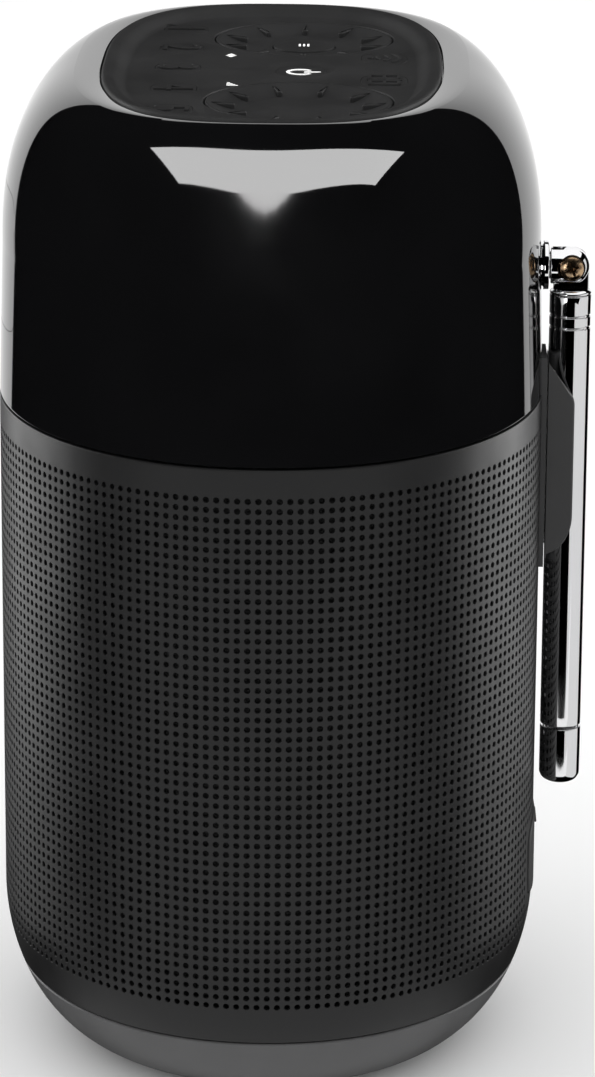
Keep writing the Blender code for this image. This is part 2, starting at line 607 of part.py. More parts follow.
def main():
    for old in list(bpy.data.objects):
        bpy.data.objects.remove(old)
    matte = material("matte_plastic", (0.02, 0.02, 0.021), 0.55)
    grille = material("grille_metal", (0.018, 0.018, 0.019), 0.5)
    gloss = material("gloss_black", (0.004, 0.004, 0.004), 0.05)
    window = material("window_black", (0.002, 0.002, 0.003), 0.03)
    rubber = material("soft_rubber", (0.018, 0.018, 0.018), 0.65)
    chrome = material("chrome", (0.8, 0.8, 0.8), 0.08, 1.0)
    brass = material("brass", (0.6, 0.44, 0.25), 0.3, 1.0)
    steel = material("steel", (0.45, 0.45, 0.46), 0.35, 1.0)
    magnet = material("magnet", (0.06, 0.06, 0.065), 0.5, 0.6)
    paper = material("cone_paper", (0.03, 0.03, 0.032), 0.8)
    board = material("circuit_board", (0.02, 0.09, 0.045), 0.5)
    wrap = material("cell_wrap", (0.05, 0.16, 0.32), 0.4)
    build_base(matte, rubber, steel)
    build_grille(grille)
    build_cap(gloss, window, matte)
    build_pad(rubber)
    build_keys(rubber)
    build_dials(rubber, steel)
    build_boards(board)
    build_sound_box(matte)
    build_driver(steel, paper, rubber, magnet)
    build_battery(wrap)
    build_cradle(matte, rubber, steel)
    build_ports(matte, rubber, steel)
    build_pivot(chrome, brass)
    build_rod(chrome)
    build_leads(matte)


main()
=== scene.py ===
"""The looks of a portable tabletop radio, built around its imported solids.

Lengths are in millimetres and turn into metres where a mesh is made. +Z is up, the display faces -Y, the
antenna hangs down the back at +Y, and +X is the listener's right, where the camera stands.
"""

import math

import bpy
import numpy as np
from mathutils import Matrix, Vector


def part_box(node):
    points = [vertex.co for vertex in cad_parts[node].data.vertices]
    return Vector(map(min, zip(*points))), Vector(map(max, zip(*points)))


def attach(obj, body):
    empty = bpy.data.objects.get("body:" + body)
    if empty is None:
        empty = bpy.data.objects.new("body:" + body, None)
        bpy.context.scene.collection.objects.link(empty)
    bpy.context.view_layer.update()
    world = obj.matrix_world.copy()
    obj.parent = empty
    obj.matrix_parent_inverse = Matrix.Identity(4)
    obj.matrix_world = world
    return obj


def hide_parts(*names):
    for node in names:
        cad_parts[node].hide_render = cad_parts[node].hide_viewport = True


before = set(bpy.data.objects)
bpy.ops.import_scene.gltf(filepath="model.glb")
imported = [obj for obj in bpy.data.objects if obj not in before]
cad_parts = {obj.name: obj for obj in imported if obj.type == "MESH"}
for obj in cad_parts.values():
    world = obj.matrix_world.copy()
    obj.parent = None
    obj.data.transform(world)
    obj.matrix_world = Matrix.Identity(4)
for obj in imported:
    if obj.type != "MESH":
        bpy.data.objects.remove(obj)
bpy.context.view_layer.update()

MM = 0.001
BODY = "radio_body"


def node_box(name):
    """A CAD node's lowest and highest corners in millimetres."""
    low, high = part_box(name)
    return np.array(low) / MM, np.array(high) / MM


# ---------------------------------------------------------------- the body's outer surface

CAP_LOW, CAP_HIGH = node_box("glossy_housing")
SLEEVE_LOW, SLEEVE_HIGH = node_box("grille_sleeve")
CUP_LOW, CUP_HIGH = node_box("base_cup")
PAD_LOW, PAD_HIGH = node_box("control_pad")
BODY_X, BODY_Y = SLEEVE_HIGH[0], -SLEEVE_LOW[1]
BODY_POWER = 2.05
BASE_X, BASE_Y = 34.0, 30.0
BASE_ROUND_TOP = 29.0
BASE_ROUND_POWER = 1.95
CAP_SEAM = CAP_LOW[2]
CAP_DRAFT_Y = BODY_Y - 0.8
SHOULDER_Y_START = 153.0
SHOULDER_X_START = 174.0
SHOULDER_TOP = CAP_HIGH[2] + 0.6
SHOULDER_POWER = 2.2
PAD_X, PAD_Y = PAD_HIGH[0], PAD_HIGH[1]
TOP_X, TOP_Y = PAD_X + 0.4, PAD_Y + 0.4
TOP_POWER = 2.8
CAP_WALL = 2.4
ROUND = 256  # points around the body's section


def section(z):
    """Half widths and power of the body's outer section at each height."""
    z = np.asarray(z, float)
    t = np.clip((BASE_ROUND_TOP - z) / BASE_ROUND_TOP, 0, 1)
    k = (1 - t**BASE_ROUND_POWER) ** (1 / BASE_ROUND_POWER)
    rise = np.clip((z - CAP_SEAM) / (SHOULDER_TOP - CAP_SEAM), 0, 1)
    draft = np.clip((z - CAP_SEAM) / (SHOULDER_Y_START - CAP_SEAM), 0, 1)
    t_y = np.clip((z - SHOULDER_Y_START) / (SHOULDER_TOP - SHOULDER_Y_START), 0, 1)
    t_x = np.clip((z - SHOULDER_X_START) / (SHOULDER_TOP - SHOULDER_X_START), 0, 1)
    k_y = (1 - t_y**SHOULDER_POWER) ** (1 / SHOULDER_POWER)
    k_x = (1 - t_x**SHOULDER_POWER) ** (1 / SHOULDER_POWER)
    wide_y = BODY_Y + (CAP_DRAFT_Y - BODY_Y) * draft
    half_x = np.where(z < CAP_SEAM, BASE_X + (BODY_X - BASE_X) * k, TOP_X + (BODY_X - TOP_X) * k_x)
    half_y = np.where(z < CAP_SEAM, BASE_Y + (BODY_Y - BASE_Y) * k, TOP_Y + (wide_y - TOP_Y) * k_y)
    return half_x, half_y, BODY_POWER + (TOP_POWER - BODY_POWER) * rise**4


def level(points):
    """The outer surface as a level: 0 on it, below 0 inside."""
    half_x, half_y, power = section(points[:, 2])
    return np.abs(points[:, 0] / half_x) ** power + np.abs(points[:, 1] / half_y) ** power - 1


def outward(points):
    """Distance from the outer surface and the surface's own normal, for points in millimetres."""
    step = 0.01
    slope = np.empty_like(points)
    for axis in range(3):
        shift = np.zeros(3)
        shift[axis] = step
        slope[:, axis] = (level(points + shift) - level(points - shift)) / (2 * step)
    size = np.maximum(np.linalg.norm(slope, axis=1), 1e-9)
    return level(points) / size, slope / size[:, None]


def around(half_x, half_y, power, angle):
    """Points of a superellipse, as x and y, at angle parameters."""
    c, s = np.cos(angle), np.sin(angle)
    return half_x * np.sign(c) * np.abs(c) ** (2 / power), half_y * np.sign(s) * np.abs(s) ** (2 / power)


def superellipse(half_x, half_y, power, z, count=ROUND):
    """One outline at height z, counter-clockwise from +X."""
    angle = np.linspace(0, 2 * math.pi, count, endpoint=False)
    x, y = around(half_x, half_y, power, angle)
    return np.stack([x, y, np.full(count, float(z))], axis=1)


def body_ring(z, inset=0.0, lift=0.0):
    """The outer outline at height z, moved in by inset and up by lift."""
    half_x, half_y, power = section(z)
    return superellipse(half_x - inset, half_y - inset, power, z + lift)


# ---------------------------------------------------------------- mesh helpers


def new_object(name, vertices, faces):
    """An object from points in millimetres and faces given as lists or arrays of point numbers."""
    mesh = bpy.data.meshes.new(name)
    vertices = np.asarray(vertices, float) * MM
    groups = [np.asarray(group, np.int32) for group in faces if len(group)]
    mesh.vertices.add(len(vertices))
    mesh.vertices.foreach_set("co", vertices.ravel())
    totals = np.concatenate([np.full(len(group), group.shape[1], np.int32) for group in groups])
    corners = np.concatenate([group.ravel() for group in groups])
    mesh.loops.add(len(corners))
    mesh.loops.foreach_set("vertex_index", corners)
    mesh.polygons.add(len(totals))
    mesh.polygons.foreach_set("loop_start", np.concatenate([[0], np.cumsum(totals)[:-1]]).astype(np.int32))
    mesh.update(calc_edges=True)
    made = bpy.data.objects.new(name, mesh)
    bpy.context.scene.collection.objects.link(made)
    return made


def loft(name, rings, hollow=False):
    """A closed body through rings of one length: a tube when hollow, else with both ends capped."""
    rings = np.asarray(rings, float)
    rows, count = rings.shape[:2]
    i = np.arange(rows if hollow else rows - 1)[:, None]
    j = np.arange(count)[None, :]
    low, high = i * count, ((i + 1) % rows) * count
    right = (j + 1) % count
    quads = np.stack([low + j, low + right, high + right, high + j], axis=-1).reshape(-1, 4)
    faces = [quads]
    if not hollow:
        first, last = np.arange(count)[::-1], (rows - 1) * count + np.arange(count)
        faces += [first[None, :], last[None, :]]
    return new_object(name, rings.reshape(-1, 3), faces)


def turned(name, profile, count=96, hollow=False):
    """A body turned about +Z from (radius, height) points, up its outside and down its inside if hollow."""
    return loft(name, [superellipse(r, r, 2.0, z, count) for r, z in profile], hollow)


def prism(name, outline, low, high, edge=0.0, steps=3):
    """A flat-ended body over an outline of (x, y) points, with its top edge rounded by edge."""
    outline = np.asarray(outline, float)
    ahead, behind = np.roll(outline, -1, axis=0), np.roll(outline, 1, axis=0)
    along = ahead - behind
    along /= np.maximum(np.linalg.norm(along, axis=1), 1e-9)[:, None]
    inward = np.stack([-along[:, 1], along[:, 0]], axis=1)
    stations = [(0.0, low), (0.0, high - edge)]
    for step in range(1, steps + 1):
        angle = math.pi / 2 * step / steps
        if edge:
            stations.append((edge * (1 - math.cos(angle)), high - edge * (1 - math.sin(angle))))
    if not edge:
        stations[-1] = (0.0, high)
    rings = []
    for inset, z in stations:
        flat = outline + inward * inset
        rings.append(np.column_stack([flat, np.full(len(flat), z)]))
    return loft(name, rings)


def rounded(points, radius, steps=4):
    """A profile of (a, b) points with each inner corner rounded by radius, where its sides leave room."""
    points = [np.array(p, float) for p in points]
    made = [points[0]]
    for before, corner, after in zip(points, points[1:], points[2:]):
        back, ahead = before - corner, after - corner
        reach = min(radius, np.linalg.norm(back) * 0.45, np.linalg.norm(ahead) * 0.45)
        start = corner + back / np.linalg.norm(back) * reach
        end = corner + ahead / np.linalg.norm(ahead) * reach
        for step in range(steps + 1):
            t = step / steps
            made.append((1 - t) ** 2 * start + 2 * t * (1 - t) * corner + t * t * end)
    made.append(points[-1])
    return made


def place(piece, matrix):
    """Moves a piece's mesh by a matrix in millimetres."""
    scaled = matrix.copy()
    scaled.translation = matrix.translation * MM
    piece.data.transform(scaled)
    return piece


def moved(piece, x, y, z):
    """Moves a piece's mesh."""
    return place(piece, Matrix.Translation(Vector((x, y, z))))


def lying(piece, direction, centre):
    """Turns a body made along +Z to lie along a direction from centre."""
    turn = Vector((0, 0, 1)).rotation_difference(Vector(direction)).to_matrix().to_4x4()
    return place(piece, Matrix.Translation(Vector(centre)) @ turn)


def change(piece, tool, operation="DIFFERENCE", solver="MANIFOLD"):
    """Cuts a tool out of a piece, joins it on, or keeps what they share, and removes the tool."""
    modifier = piece.modifiers.new("change", "BOOLEAN")
    modifier.operation = operation
    modifier.solver = solver
    modifier.object = tool
    graph = bpy.context.evaluated_depsgraph_get()
    result = bpy.data.meshes.new_from_object(piece.evaluated_get(graph))
    piece.modifiers.clear()
    result.name = piece.name
    piece.data = result
    bpy.data.objects.remove(tool)
    return piece


def drill(piece, profile, count, direction, centre):
    """Cuts a turned hole into a piece, along a direction from centre."""
    return change(piece, lying(turned("tool", profile, count), direction, centre))


def block(low, high, name="block"):
    """An upright box, used as a tool."""
    (x0, y0, z0), (x1, y1, z1) = low, high
    return prism(name, [(x0, y0), (x1, y0), (x1, y1), (x0, y1)], z0, z1)


def shade(piece, crease=32.0, surface=False):
    """Smooth shading with creases; a body surface takes its exact normals, so that gloss stays true."""
    mesh = piece.data
    mesh.shade_smooth()
    mesh.set_sharp_from_angle(angle=math.radians(crease))
    if not surface:
        return piece
    points = np.empty(len(mesh.vertices) * 3)
    mesh.vertices.foreach_get("co", points)
    distance, normal = outward(points.reshape(-1, 3) / MM)
    on_surface = np.abs(distance) < 0.03
    corners = np.empty(len(mesh.loops), np.int32)
    mesh.loops.foreach_get("vertex_index", corners)
    starts = np.empty(len(mesh.polygons), np.int32)
    mesh.polygons.foreach_get("loop_start", starts)
    whole = np.minimum.reduceat(on_surface[corners].astype(np.int8), starts)
    totals = np.diff(np.append(starts, len(corners)))
    facing = np.empty(len(mesh.polygons) * 3)
    mesh.polygons.foreach_get("normal", facing)
    first = normal[corners[starts]]
    whole = whole * (np.sum(facing.reshape(-1, 3) * first, axis=1) > 0.8)
    keep = np.repeat(whole, totals).astype(bool)
    wanted = np.where(keep[:, None], normal[corners], 0.0)
    mesh.normals_split_custom_set(wanted.tolist())
    return piece


GROUPS = {"gloss": [], "chrome": [], "matte": []}


def finish(piece, look, body, replaces=(), group="matte"):
    """Gives a piece its material, its body and the CAD nodes that it stands for."""
    piece.data.materials.clear()
    piece.data.materials.append(look)
    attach(piece, body)
    if replaces:
        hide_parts(*replaces)
    GROUPS[group].append(piece)
    return piece


# ---------------------------------------------------------------- materials


def look(name, colour, roughness, metallic=0.0, spread=0.06, tint=0.15, grain=0.0, grain_size=0.25,
         patches=12.0, wear=0.0, ior=1.5):
    """A procedural Principled material: mottled colour and roughness, a fine grain, and worn patches.

    spread is how far the roughness varies and tint how far the colour does. grain is the bump's depth in
    millimetres at grain_size, patches the size of the mottling, and wear how much lighter worn places are.
    """
    made = bpy.data.materials.new(name)
    made.use_nodes = True
    nodes, links = made.node_tree.nodes, made.node_tree.links
    shader = nodes["Principled BSDF"]
    shader.inputs["Metallic"].default_value = metallic
    shader.inputs["IOR"].default_value = ior
    where = nodes.new("ShaderNodeTexCoord")
    mottle = nodes.new("ShaderNodeTexNoise")
    mottle.inputs["Scale"].default_value = 1 / (patches * MM)
    mottle.inputs["Detail"].default_value = 5.0
    mottle.inputs["Roughness"].default_value = 0.6
    links.new(where.outputs["Object"], mottle.inputs["Vector"])
    rough = nodes.new("ShaderNodeMapRange")
    rough.inputs["From Min"].default_value = 0.3
    rough.inputs["From Max"].default_value = 0.7
    rough.inputs["To Min"].default_value = max(0.0, roughness - spread)
    rough.inputs["To Max"].default_value = roughness + spread
    links.new(mottle.outputs["Fac"], rough.inputs["Value"])
    links.new(rough.outputs["Result"], shader.inputs["Roughness"])
    ramp = nodes.new("ShaderNodeValToRGB")
    ramp.color_ramp.elements[0].position = 0.25
    ramp.color_ramp.elements[1].position = 0.75
    dark = [c * (1 - tint) for c in colour]
    light = [min(1.0, c * (1 + tint) + wear * 0.02) for c in colour]
    ramp.color_ramp.elements[0].color = (*dark, 1.0)
    ramp.color_ramp.elements[1].color = (*light, 1.0)
    links.new(mottle.outputs["Fac"], ramp.inputs["Fac"])
    links.new(ramp.outputs["Color"], shader.inputs["Base Color"])
    if grain:
        fine = nodes.new("ShaderNodeTexNoise")
        fine.inputs["Scale"].default_value = 1 / (grain_size * MM)
        fine.inputs["Detail"].default_value = 2.0
        links.new(where.outputs["Object"], fine.inputs["Vector"])
        bump = nodes.new("ShaderNodeBump")
        bump.inputs["Distance"].default_value = grain * MM
        bump.inputs["Strength"].default_value = 1.0
        links.new(fine.outputs["Fac"], bump.inputs["Height"])
        links.new(bump.outputs["Normal"], shader.inputs["Normal"])
    return made


def scored(name, colour, roughness, grain, across):
    """Brushed metal: the grain runs long in one direction, which across gives as a scale per axis."""
    made = look(name, colour, roughness, metallic=1.0, spread=0.08, tint=0.08)
    nodes, links = made.node_tree.nodes, made.node_tree.links
    shader = nodes["Principled BSDF"]
    where = nodes.new("ShaderNodeTexCoord")
    stretch = nodes.new("ShaderNodeMapping")
    stretch.inputs["Scale"].default_value = across
    lines = nodes.new("ShaderNodeTexNoise")
    lines.inputs["Scale"].default_value = 400.0
    lines.inputs["Detail"].default_value = 3.0
    bump = nodes.new("ShaderNodeBump")
    bump.inputs["Distance"].default_value = grain * MM
    links.new(where.outputs["Object"], stretch.inputs["Vector"])
    links.new(stretch.outputs["Vector"], lines.inputs["Vector"])
    links.new(lines.outputs["Fac"], bump.inputs["Height"])
    links.new(bump.outputs["Normal"], shader.inputs["Normal"])
    return made


LOOKS = {
    "gloss": look("gloss_black", (0.0035, 0.0035, 0.0038), 0.035, spread=0.015, tint=0.2, patches=30.0),
    "window": look("window_black", (0.002, 0.0021, 0.0026), 0.03, spread=0.01, tint=0.1, patches=40.0),
    "sleeve": look("sleeve_paint", (0.008, 0.008, 0.0083), 0.42, spread=0.05, grain=0.012, grain_size=0.22),
    "plastic": look("matte_plastic", (0.03, 0.03, 0.0307), 0.44, spread=0.05, grain=0.008, grain_size=0.3),
    # the base is the matte plastic painted over twice as light, a painted sheen standing in for the floor
    # light that the downward-facing base reflects
    "base": look("base_plastic_with_painted_floor_sheen", (0.07, 0.07, 0.0712), 0.46, spread=0.05, grain=0.008, grain_size=0.3),
    "rubber": look("soft_rubber", (0.013, 0.013, 0.0134), 0.58, spread=0.06, grain=0.014, grain_size=0.2),
    "foot": look("foot_rubber", (0.015, 0.015, 0.015), 0.75, spread=0.08, grain=0.03, grain_size=0.3,
                 wear=0.5),
    "white": look("print_white", (0.78, 0.78, 0.77), 0.5, spread=0.05, tint=0.03, grain=0.004),
    "chrome": look("chrome", (0.8, 0.8, 0.81), 0.06, metallic=1.0, spread=0.025, tint=0.02, patches=8.0),
    "brass": look("brass", (0.63, 0.44, 0.27), 0.24, metallic=1.0, spread=0.08, tint=0.12, patches=1.2),
    "steel": scored("steel", (0.45, 0.45, 0.46), 0.32, 0.02, (1.0, 1.0, 12.0)),
    "cone": look("cone_paper", (0.03, 0.03, 0.032), 0.82, spread=0.08, grain=0.05, grain_size=0.5),
    "magnet": look("ferrite", (0.05, 0.05, 0.055), 0.55, metallic=0.4, grain=0.02, grain_size=0.4),
    "board": look("circuit_board", (0.016, 0.085, 0.04), 0.38, spread=0.08, grain=0.02, grain_size=0.8),
    "wrap": look("cell_wrap", (0.05, 0.16, 0.32), 0.34, spread=0.06, grain=0.01, grain_size=1.5),
    "sheath": look("lead_sheath", (0.02, 0.02, 0.021), 0.55, spread=0.06, grain=0.01, grain_size=0.3),
}


# ---------------------------------------------------------------- base, sleeve and cap

GAP = 0.3
BASE_SCREWS = [np.mean(node_box(f"base_screw_{n}"), axis=0)[:2] for n in range(1, 5)]
CRADLE_HALF_X = node_box("antenna_cradle")[1][0]
CRADLE_LOW, CRADLE_HIGH = node_box("antenna_cradle")[0][2], node_box("antenna_cradle")[1][2]
PORT_LOW, PORT_HIGH = node_box("port_cover")
PIVOT = np.array([0.0, 55.2, 147.8])


def build_base():
    """The rounded base cup with its recess for the foot, its screw wells and its inner wall."""
    recess_x, recess_y, recess_top = 31.0 + GAP, 27.0 + GAP, 1.9
    low, top, wall, edge = CUP_LOW[2], CUP_HIGH[2], 2.2, 0.35
    recess = [superellipse(recess_x, recess_y, BODY_POWER, z) for z in (recess_top, low + 0.2)]
    recess.append(superellipse(recess_x + 0.2, recess_y + 0.2, BODY_POWER, low))
    heights = low + (top - edge - low) * np.linspace(0, 1, 30) ** 1.5
    outside = [body_ring(z) for z in heights]
    lip = [body_ring(top - edge, edge * (1 - math.cos(a)), edge * math.sin(a)) for a in (0.4, 0.8, 1.2, 1.57)]
    inside = [body_ring(top, wall), body_ring(11.5, wall), body_ring(8.0, wall), body_ring(5.4, 4.0)]
    cup = loft("base_cup_shell", [*recess, *outside, *lip, *inside])
    for x, y in BASE_SCREWS:
        change(cup, moved(turned("tool", [(1.6, 0.0), (1.6, 9.0)], 32), x, y, 0))
        change(cup, moved(turned("tool", [(3.0, 1.0), (3.0, 3.8)], 48), x, y, 0))
    # the base takes the lightened plastic, whose extra lightness is painted floor sheen
    finish(shade(cup, surface=True), LOOKS["base"], BODY, ["base_cup"])


def build_foot():
    """The oval foot pad, with a shallow groove inside its edge on the underside."""
    half_x, half_y, top = 31.0, 27.0, node_box("foot_pad")[1][2]
    profile = [(14.0, 0.0), (3.4, 0.0), (3.2, 0.35), (2.6, 0.35), (2.4, 0.0), (0.4, 0.0), (0.1, 0.12)]
    profile += [(0.0, 0.45), (0.0, top - 0.2), (0.2, top), (14.0, top)]
    rings = [superellipse(half_x - inset, half_y - inset, BODY_POWER, z) for inset, z in profile]
    pad = loft("foot_pad_rubber", rings)
    finish(shade(pad), LOOKS["foot"], BODY, ["foot_pad"])


HOLE_ROWS = 53
HOLE_COLUMNS = 186
HOLE_TOP = 119.0
ROW_PITCH = 1.829
COLUMN_SHIFT = 0.025
HOLE_RADIUS = 0.53
LIP_WIDTH = 0.1
SHEET = 0.8
PANELS = 4


def arc_table():
    """Arc length around the body's straight section against its angle parameter."""
    angle = np.linspace(-math.pi, 3 * math.pi, 40001)
    x, y = around(BODY_X, BODY_Y, BODY_POWER, angle)
    length = np.concatenate([[0], np.cumsum(np.hypot(np.diff(x), np.diff(y)))])
    length -= np.interp(0.0, angle, length)
    return length, angle, np.interp(2 * math.pi, angle, length)


ARC_LENGTH, ARC_ANGLE, AROUND = arc_table()
COLUMN_PITCH = AROUND / HOLE_COLUMNS


def on_wall(length, z, depth):
    """Points on the wall at an arc length from +X and a height, set in by depth."""
    angle = np.interp(length, ARC_LENGTH, ARC_ANGLE)
    half_x, half_y, power = section(z)
    x, y = around(half_x - depth, half_y - depth, power, angle)
    return np.stack([x, y, np.broadcast_to(z, x.shape)], axis=-1)


def is_blank(length, z):
    """True where a hole would meet the cradle's slot or the connectors' window."""
    centre = on_wall(length, z, 0.0)
    back, x = centre[..., 1] > 0, np.abs(centre[..., 0])
    height = centre[..., 2]
    slot = (x < CRADLE_HALF_X + GAP + 0.8) & (height > CRADLE_LOW - GAP - 0.8)
    port_z = (PORT_LOW[2] + PORT_HIGH[2]) / 2
    port_half = (PORT_HIGH[2] - PORT_LOW[2]) / 2
    window = (x < PORT_HIGH[0] + GAP + 0.8) & (np.abs(height - port_z) < port_half + 1.1)
    return back & (slot | window)


def perforated_panel(name, first, last):
    """A closed stretch of the sleeve's sheet between two columns, with every hole cut through and lipped."""
    edge = 0.3
    low, high = SLEEVE_LOW[2], SLEEVE_HIGH[2]
    holes_low = HOLE_TOP - (HOLE_ROWS - 0.5) * ROW_PITCH
    plain_low = [(low, edge), (low + 0.08, 0.12), (low + edge, 0.0)]
    plain_low += [(z, 0.0) for z in np.linspace(low + edge, holes_low, 6)[1:-1]]
    holed = [(holes_low + i * ROW_PITCH, 0.0) for i in range(HOLE_ROWS + 1)]
    plain_high = [(z, 0.0) for z in np.linspace(holed[-1][0], high - edge, 4)[1:]]
    plain_high += [(high - 0.08, 0.12), (high, edge)]
    rows = plain_low + holed + plain_high
    heights, depths = (np.array(v) for v in zip(*rows))
    columns = (np.arange(first, last + 1) + COLUMN_SHIFT) * COLUMN_PITCH
    grid_z, grid_s = np.meshgrid(heights, columns, indexing="ij")
    grid_depth = np.repeat(depths[:, None], len(columns), axis=1)
    outer = on_wall(grid_s, grid_z, grid_depth).reshape(-1, 3)
    inner = on_wall(grid_s, grid_z, SHEET).reshape(-1, 3)
    wide, tall = len(columns), len(rows)
    back_start = len(outer)
    i, j = np.meshgrid(np.arange(tall - 1), np.arange(wide - 1), indexing="ij")
    i, j = i.ravel(), j.ravel()
    corner = np.stack([i * wide + j, i * wide + j + 1, (i + 1) * wide + j + 1, (i + 1) * wide + j], axis=1)
    centre_s = (columns[j] + columns[j + 1]) / 2
    centre_z = (heights[i] + heights[i + 1]) / 2
    start = len(plain_low)
    holed_row = (i >= start) & (i < start + HOLE_ROWS)
    open_cell = holed_row & ~is_blank(centre_s, centre_z)
    plain = corner[~open_cell]
    quads = [plain, plain[:, ::-1] + back_start]
    angles = (np.arange(8) + 0.5) * math.pi / 4
    rings = []
    for radius, depth in ((HOLE_RADIUS + LIP_WIDTH, 0.0), (HOLE_RADIUS, LIP_WIDTH), (HOLE_RADIUS, SHEET)):
        ring_s = centre_s[open_cell][:, None] + radius * np.cos(angles)
        ring_z = centre_z[open_cell][:, None] + radius * np.sin(angles)
        rings.append(on_wall(ring_s, ring_z, depth).reshape(-1, 3))
    count = int(open_cell.sum())
    bases = [2 * back_start + ring * count * 8 + np.arange(count)[:, None] * 8 for ring in range(3)]
    rim, lip, end = ([base + k for k in range(8)] for base in bases)
    cells = corner[open_cell]
    bl, br, tr, tl = (cells[:, k : k + 1] for k in range(4))
    tris = []
    for a, b, k in ((br, tr, 0), (tr, tl, 2), (tl, bl, 4), (bl, br, 6)):
        before, after = (k - 1) % 8, (k + 1) % 8
        quads.append(np.hstack([a, b, rim[k], rim[before]]))
        tris.append(np.hstack([b, rim[after], rim[k]]))
        a, b = a + back_start, b + back_start
        quads.append(np.hstack([end[before], end[k], b, a]))
        tris.append(np.hstack([end[k], end[after], b]))
    for k in range(8):
        n = (k + 1) % 8
        quads.append(np.hstack([rim[k], rim[n], lip[n], lip[k]]))
        quads.append(np.hstack([lip[k], lip[n], end[n], end[k]]))
    j = np.arange(wide - 1)
    top = (tall - 1) * wide
    quads.append(np.stack([j + 1, j, j + back_start, j + 1 + back_start], axis=1))
    quads.append(np.stack([top + j, top + j + 1, top + j + 1 + back_start, top + j + back_start], axis=1))
    i = np.arange(tall - 1) * wide
    quads.append(np.stack([i, i + wide, i + wide + back_start, i + back_start], axis=1))
    i = i + wide - 1
    quads.append(np.stack([i + wide, i, i + back_start, i + wide + back_start], axis=1))
    return new_object(name, np.vstack([outer, inner, *rings]), [np.vstack(quads), np.vstack(tris)])


def build_sleeve():
    """The perforated sleeve in panels; the back one has the cradle's slot and the connectors' window."""
    quarter = HOLE_COLUMNS / PANELS
    borders = [round((n - 0.5) * quarter) for n in range(PANELS + 1)]
    names = ("right", "back", "left", "front")
    for side, first, last in zip(names, borders, borders[1:]):
        panel = perforated_panel(f"sleeve_panel_{side}", first, last)
        if side == "back":
            half = CRADLE_HALF_X + GAP
            change(panel, block((-half, 40.0, CRADLE_LOW - GAP), (half, 60.0, SLEEVE_HIGH[2] + 5.0)))
            window = superellipse(PORT_HIGH[0] + GAP, (PORT_HIGH[2] - PORT_LOW[2]) / 2 + GAP, 5.0, 0.0, 96)
            tool = prism("tool", window[:, :2], 0.0, 20.0)
            change(panel, lying(tool, (0, 1, 0), (0, 40.0, (PORT_LOW[2] + PORT_HIGH[2]) / 2)))
        replaced = ["grille_sleeve"] if side == "right" else []
        finish(shade(panel, surface=True), LOOKS["sleeve"], BODY, replaced)


def housing(name):
    """The gloss cap's wall: outside, rolled bottom edge, the pad's opening with its ledge, and inside."""
    low, high, edge = CAP_LOW[2], CAP_HIGH[2], 0.45
    ledge, ledge_bottom = PAD_LOW[2] - GAP, PAD_LOW[2] - GAP - 1.8
    roll = []
    for a in (1.57, 1.2, 0.8, 0.4):
        roll.append(body_ring(low + edge, edge * (1 - math.cos(a)), -edge * math.sin(a)))
    share = np.linspace(0, 1, 72)
    heights = low + edge + (high - 0.1 - low - edge) * (1 - (1 - share) ** 1.7)
    outside = [body_ring(z) for z in heights]
    opening_x, opening_y = TOP_X - 0.1, TOP_Y - 0.1
    last_x, last_y, _ = section(high - 0.1)
    roll_in = []
    for share_in, drop in ((0.35, 0.0), (0.75, 0.03), (1.0, 0.2)):
        x = last_x + (opening_x - last_x) * share_in
        y = last_y + (opening_y - last_y) * share_in
        roll_in.append(superellipse(x, y, TOP_POWER, high - drop))
    through_x, through_y = TOP_X - 3.3, TOP_Y - 2.9
    shelf = [superellipse(opening_x, opening_y, TOP_POWER, ledge)]
    shelf += [superellipse(through_x, through_y, TOP_POWER, z) for z in (ledge, ledge_bottom)]
    inside = [body_ring(z, CAP_WALL) for z in (175.0, 171.0, 167.0, 162.0, 157.0, SHOULDER_Y_START, low)]
    return loft(name, [*roll, *outside, *roll_in, *shelf, *inside], hollow=True)


def window_tool(grow):
    """A rounded slab through the front of the cap at the display window, grown all round."""
    low, high = node_box("display_window")
    half_x, half_z = high[0] + grow, (high[2] - low[2]) / 2 + grow
    outline = superellipse(half_x, half_z, 9.0, 0.0, 128)[:, :2]
    return lying(prism("tool", outline, 0.0, 30.0), (0, -1, 0), (0, -30.0, (low[2] + high[2]) / 2))


def build_cap():
    """The gloss cap and the smoked window let into its front."""
    cap = housing("gloss_cap")
    change(cap, window_tool(0.12))
    half = CRADLE_HALF_X + GAP
    change(cap, block((-half, 40.0, CAP_LOW[2] - 5.0), (half, 60.0, CRADLE_HIGH + GAP)))
    drill(cap, [(4.2, 0.0), (4.2, 20.0)], 64, (0, 1, 0), (0, 40.0, PIVOT[2]))
    finish(shade(cap, surface=True), LOOKS["gloss"], BODY, ["glossy_housing"], "gloss")
    pane = change(housing("smoked_window"), window_tool(0.0), "INTERSECT")
    finish(shade(pane, surface=True), LOOKS["window"], BODY, ["display_window"], "gloss")


# ---------------------------------------------------------------- top pad, dials and keys

PAD_PLANE = PAD_LOW[2] + 2.4
DIAL_RADIUS = (node_box("tune_dial")[1][0] - node_box("tune_dial")[0][0]) / 2
TUNE = np.mean(node_box("tune_dial"), axis=0)[:2]
VOLUME = np.mean(node_box("volume_dial"), axis=0)[:2]
DIAL_FLOOR = PAD_PLANE - 1.6
HAIRLINE = 0.07
KEY_OUTLINES = {
    "wireless_key": (4.6, 4.2, 3.0),
    "source_key": (5.0, 4.2, 3.0),
}
KEY_OUTLINES.update({f"preset_key_{n}": (4.1, 4.1, 3.0) for n in range(1, 6)})
POWER_OUTLINE = (5.6, 4.6, 2.0)
BELOW_PAD, ABOVE_PAD = 170.0, 200.0  # how far the pad's cutters reach
DIAL_BASE = 180.6
MENU_SHOULDER = 178.2


def key_place(name):
    """The centre of a key, from above."""
    return np.mean(node_box(name), axis=0)[:2]


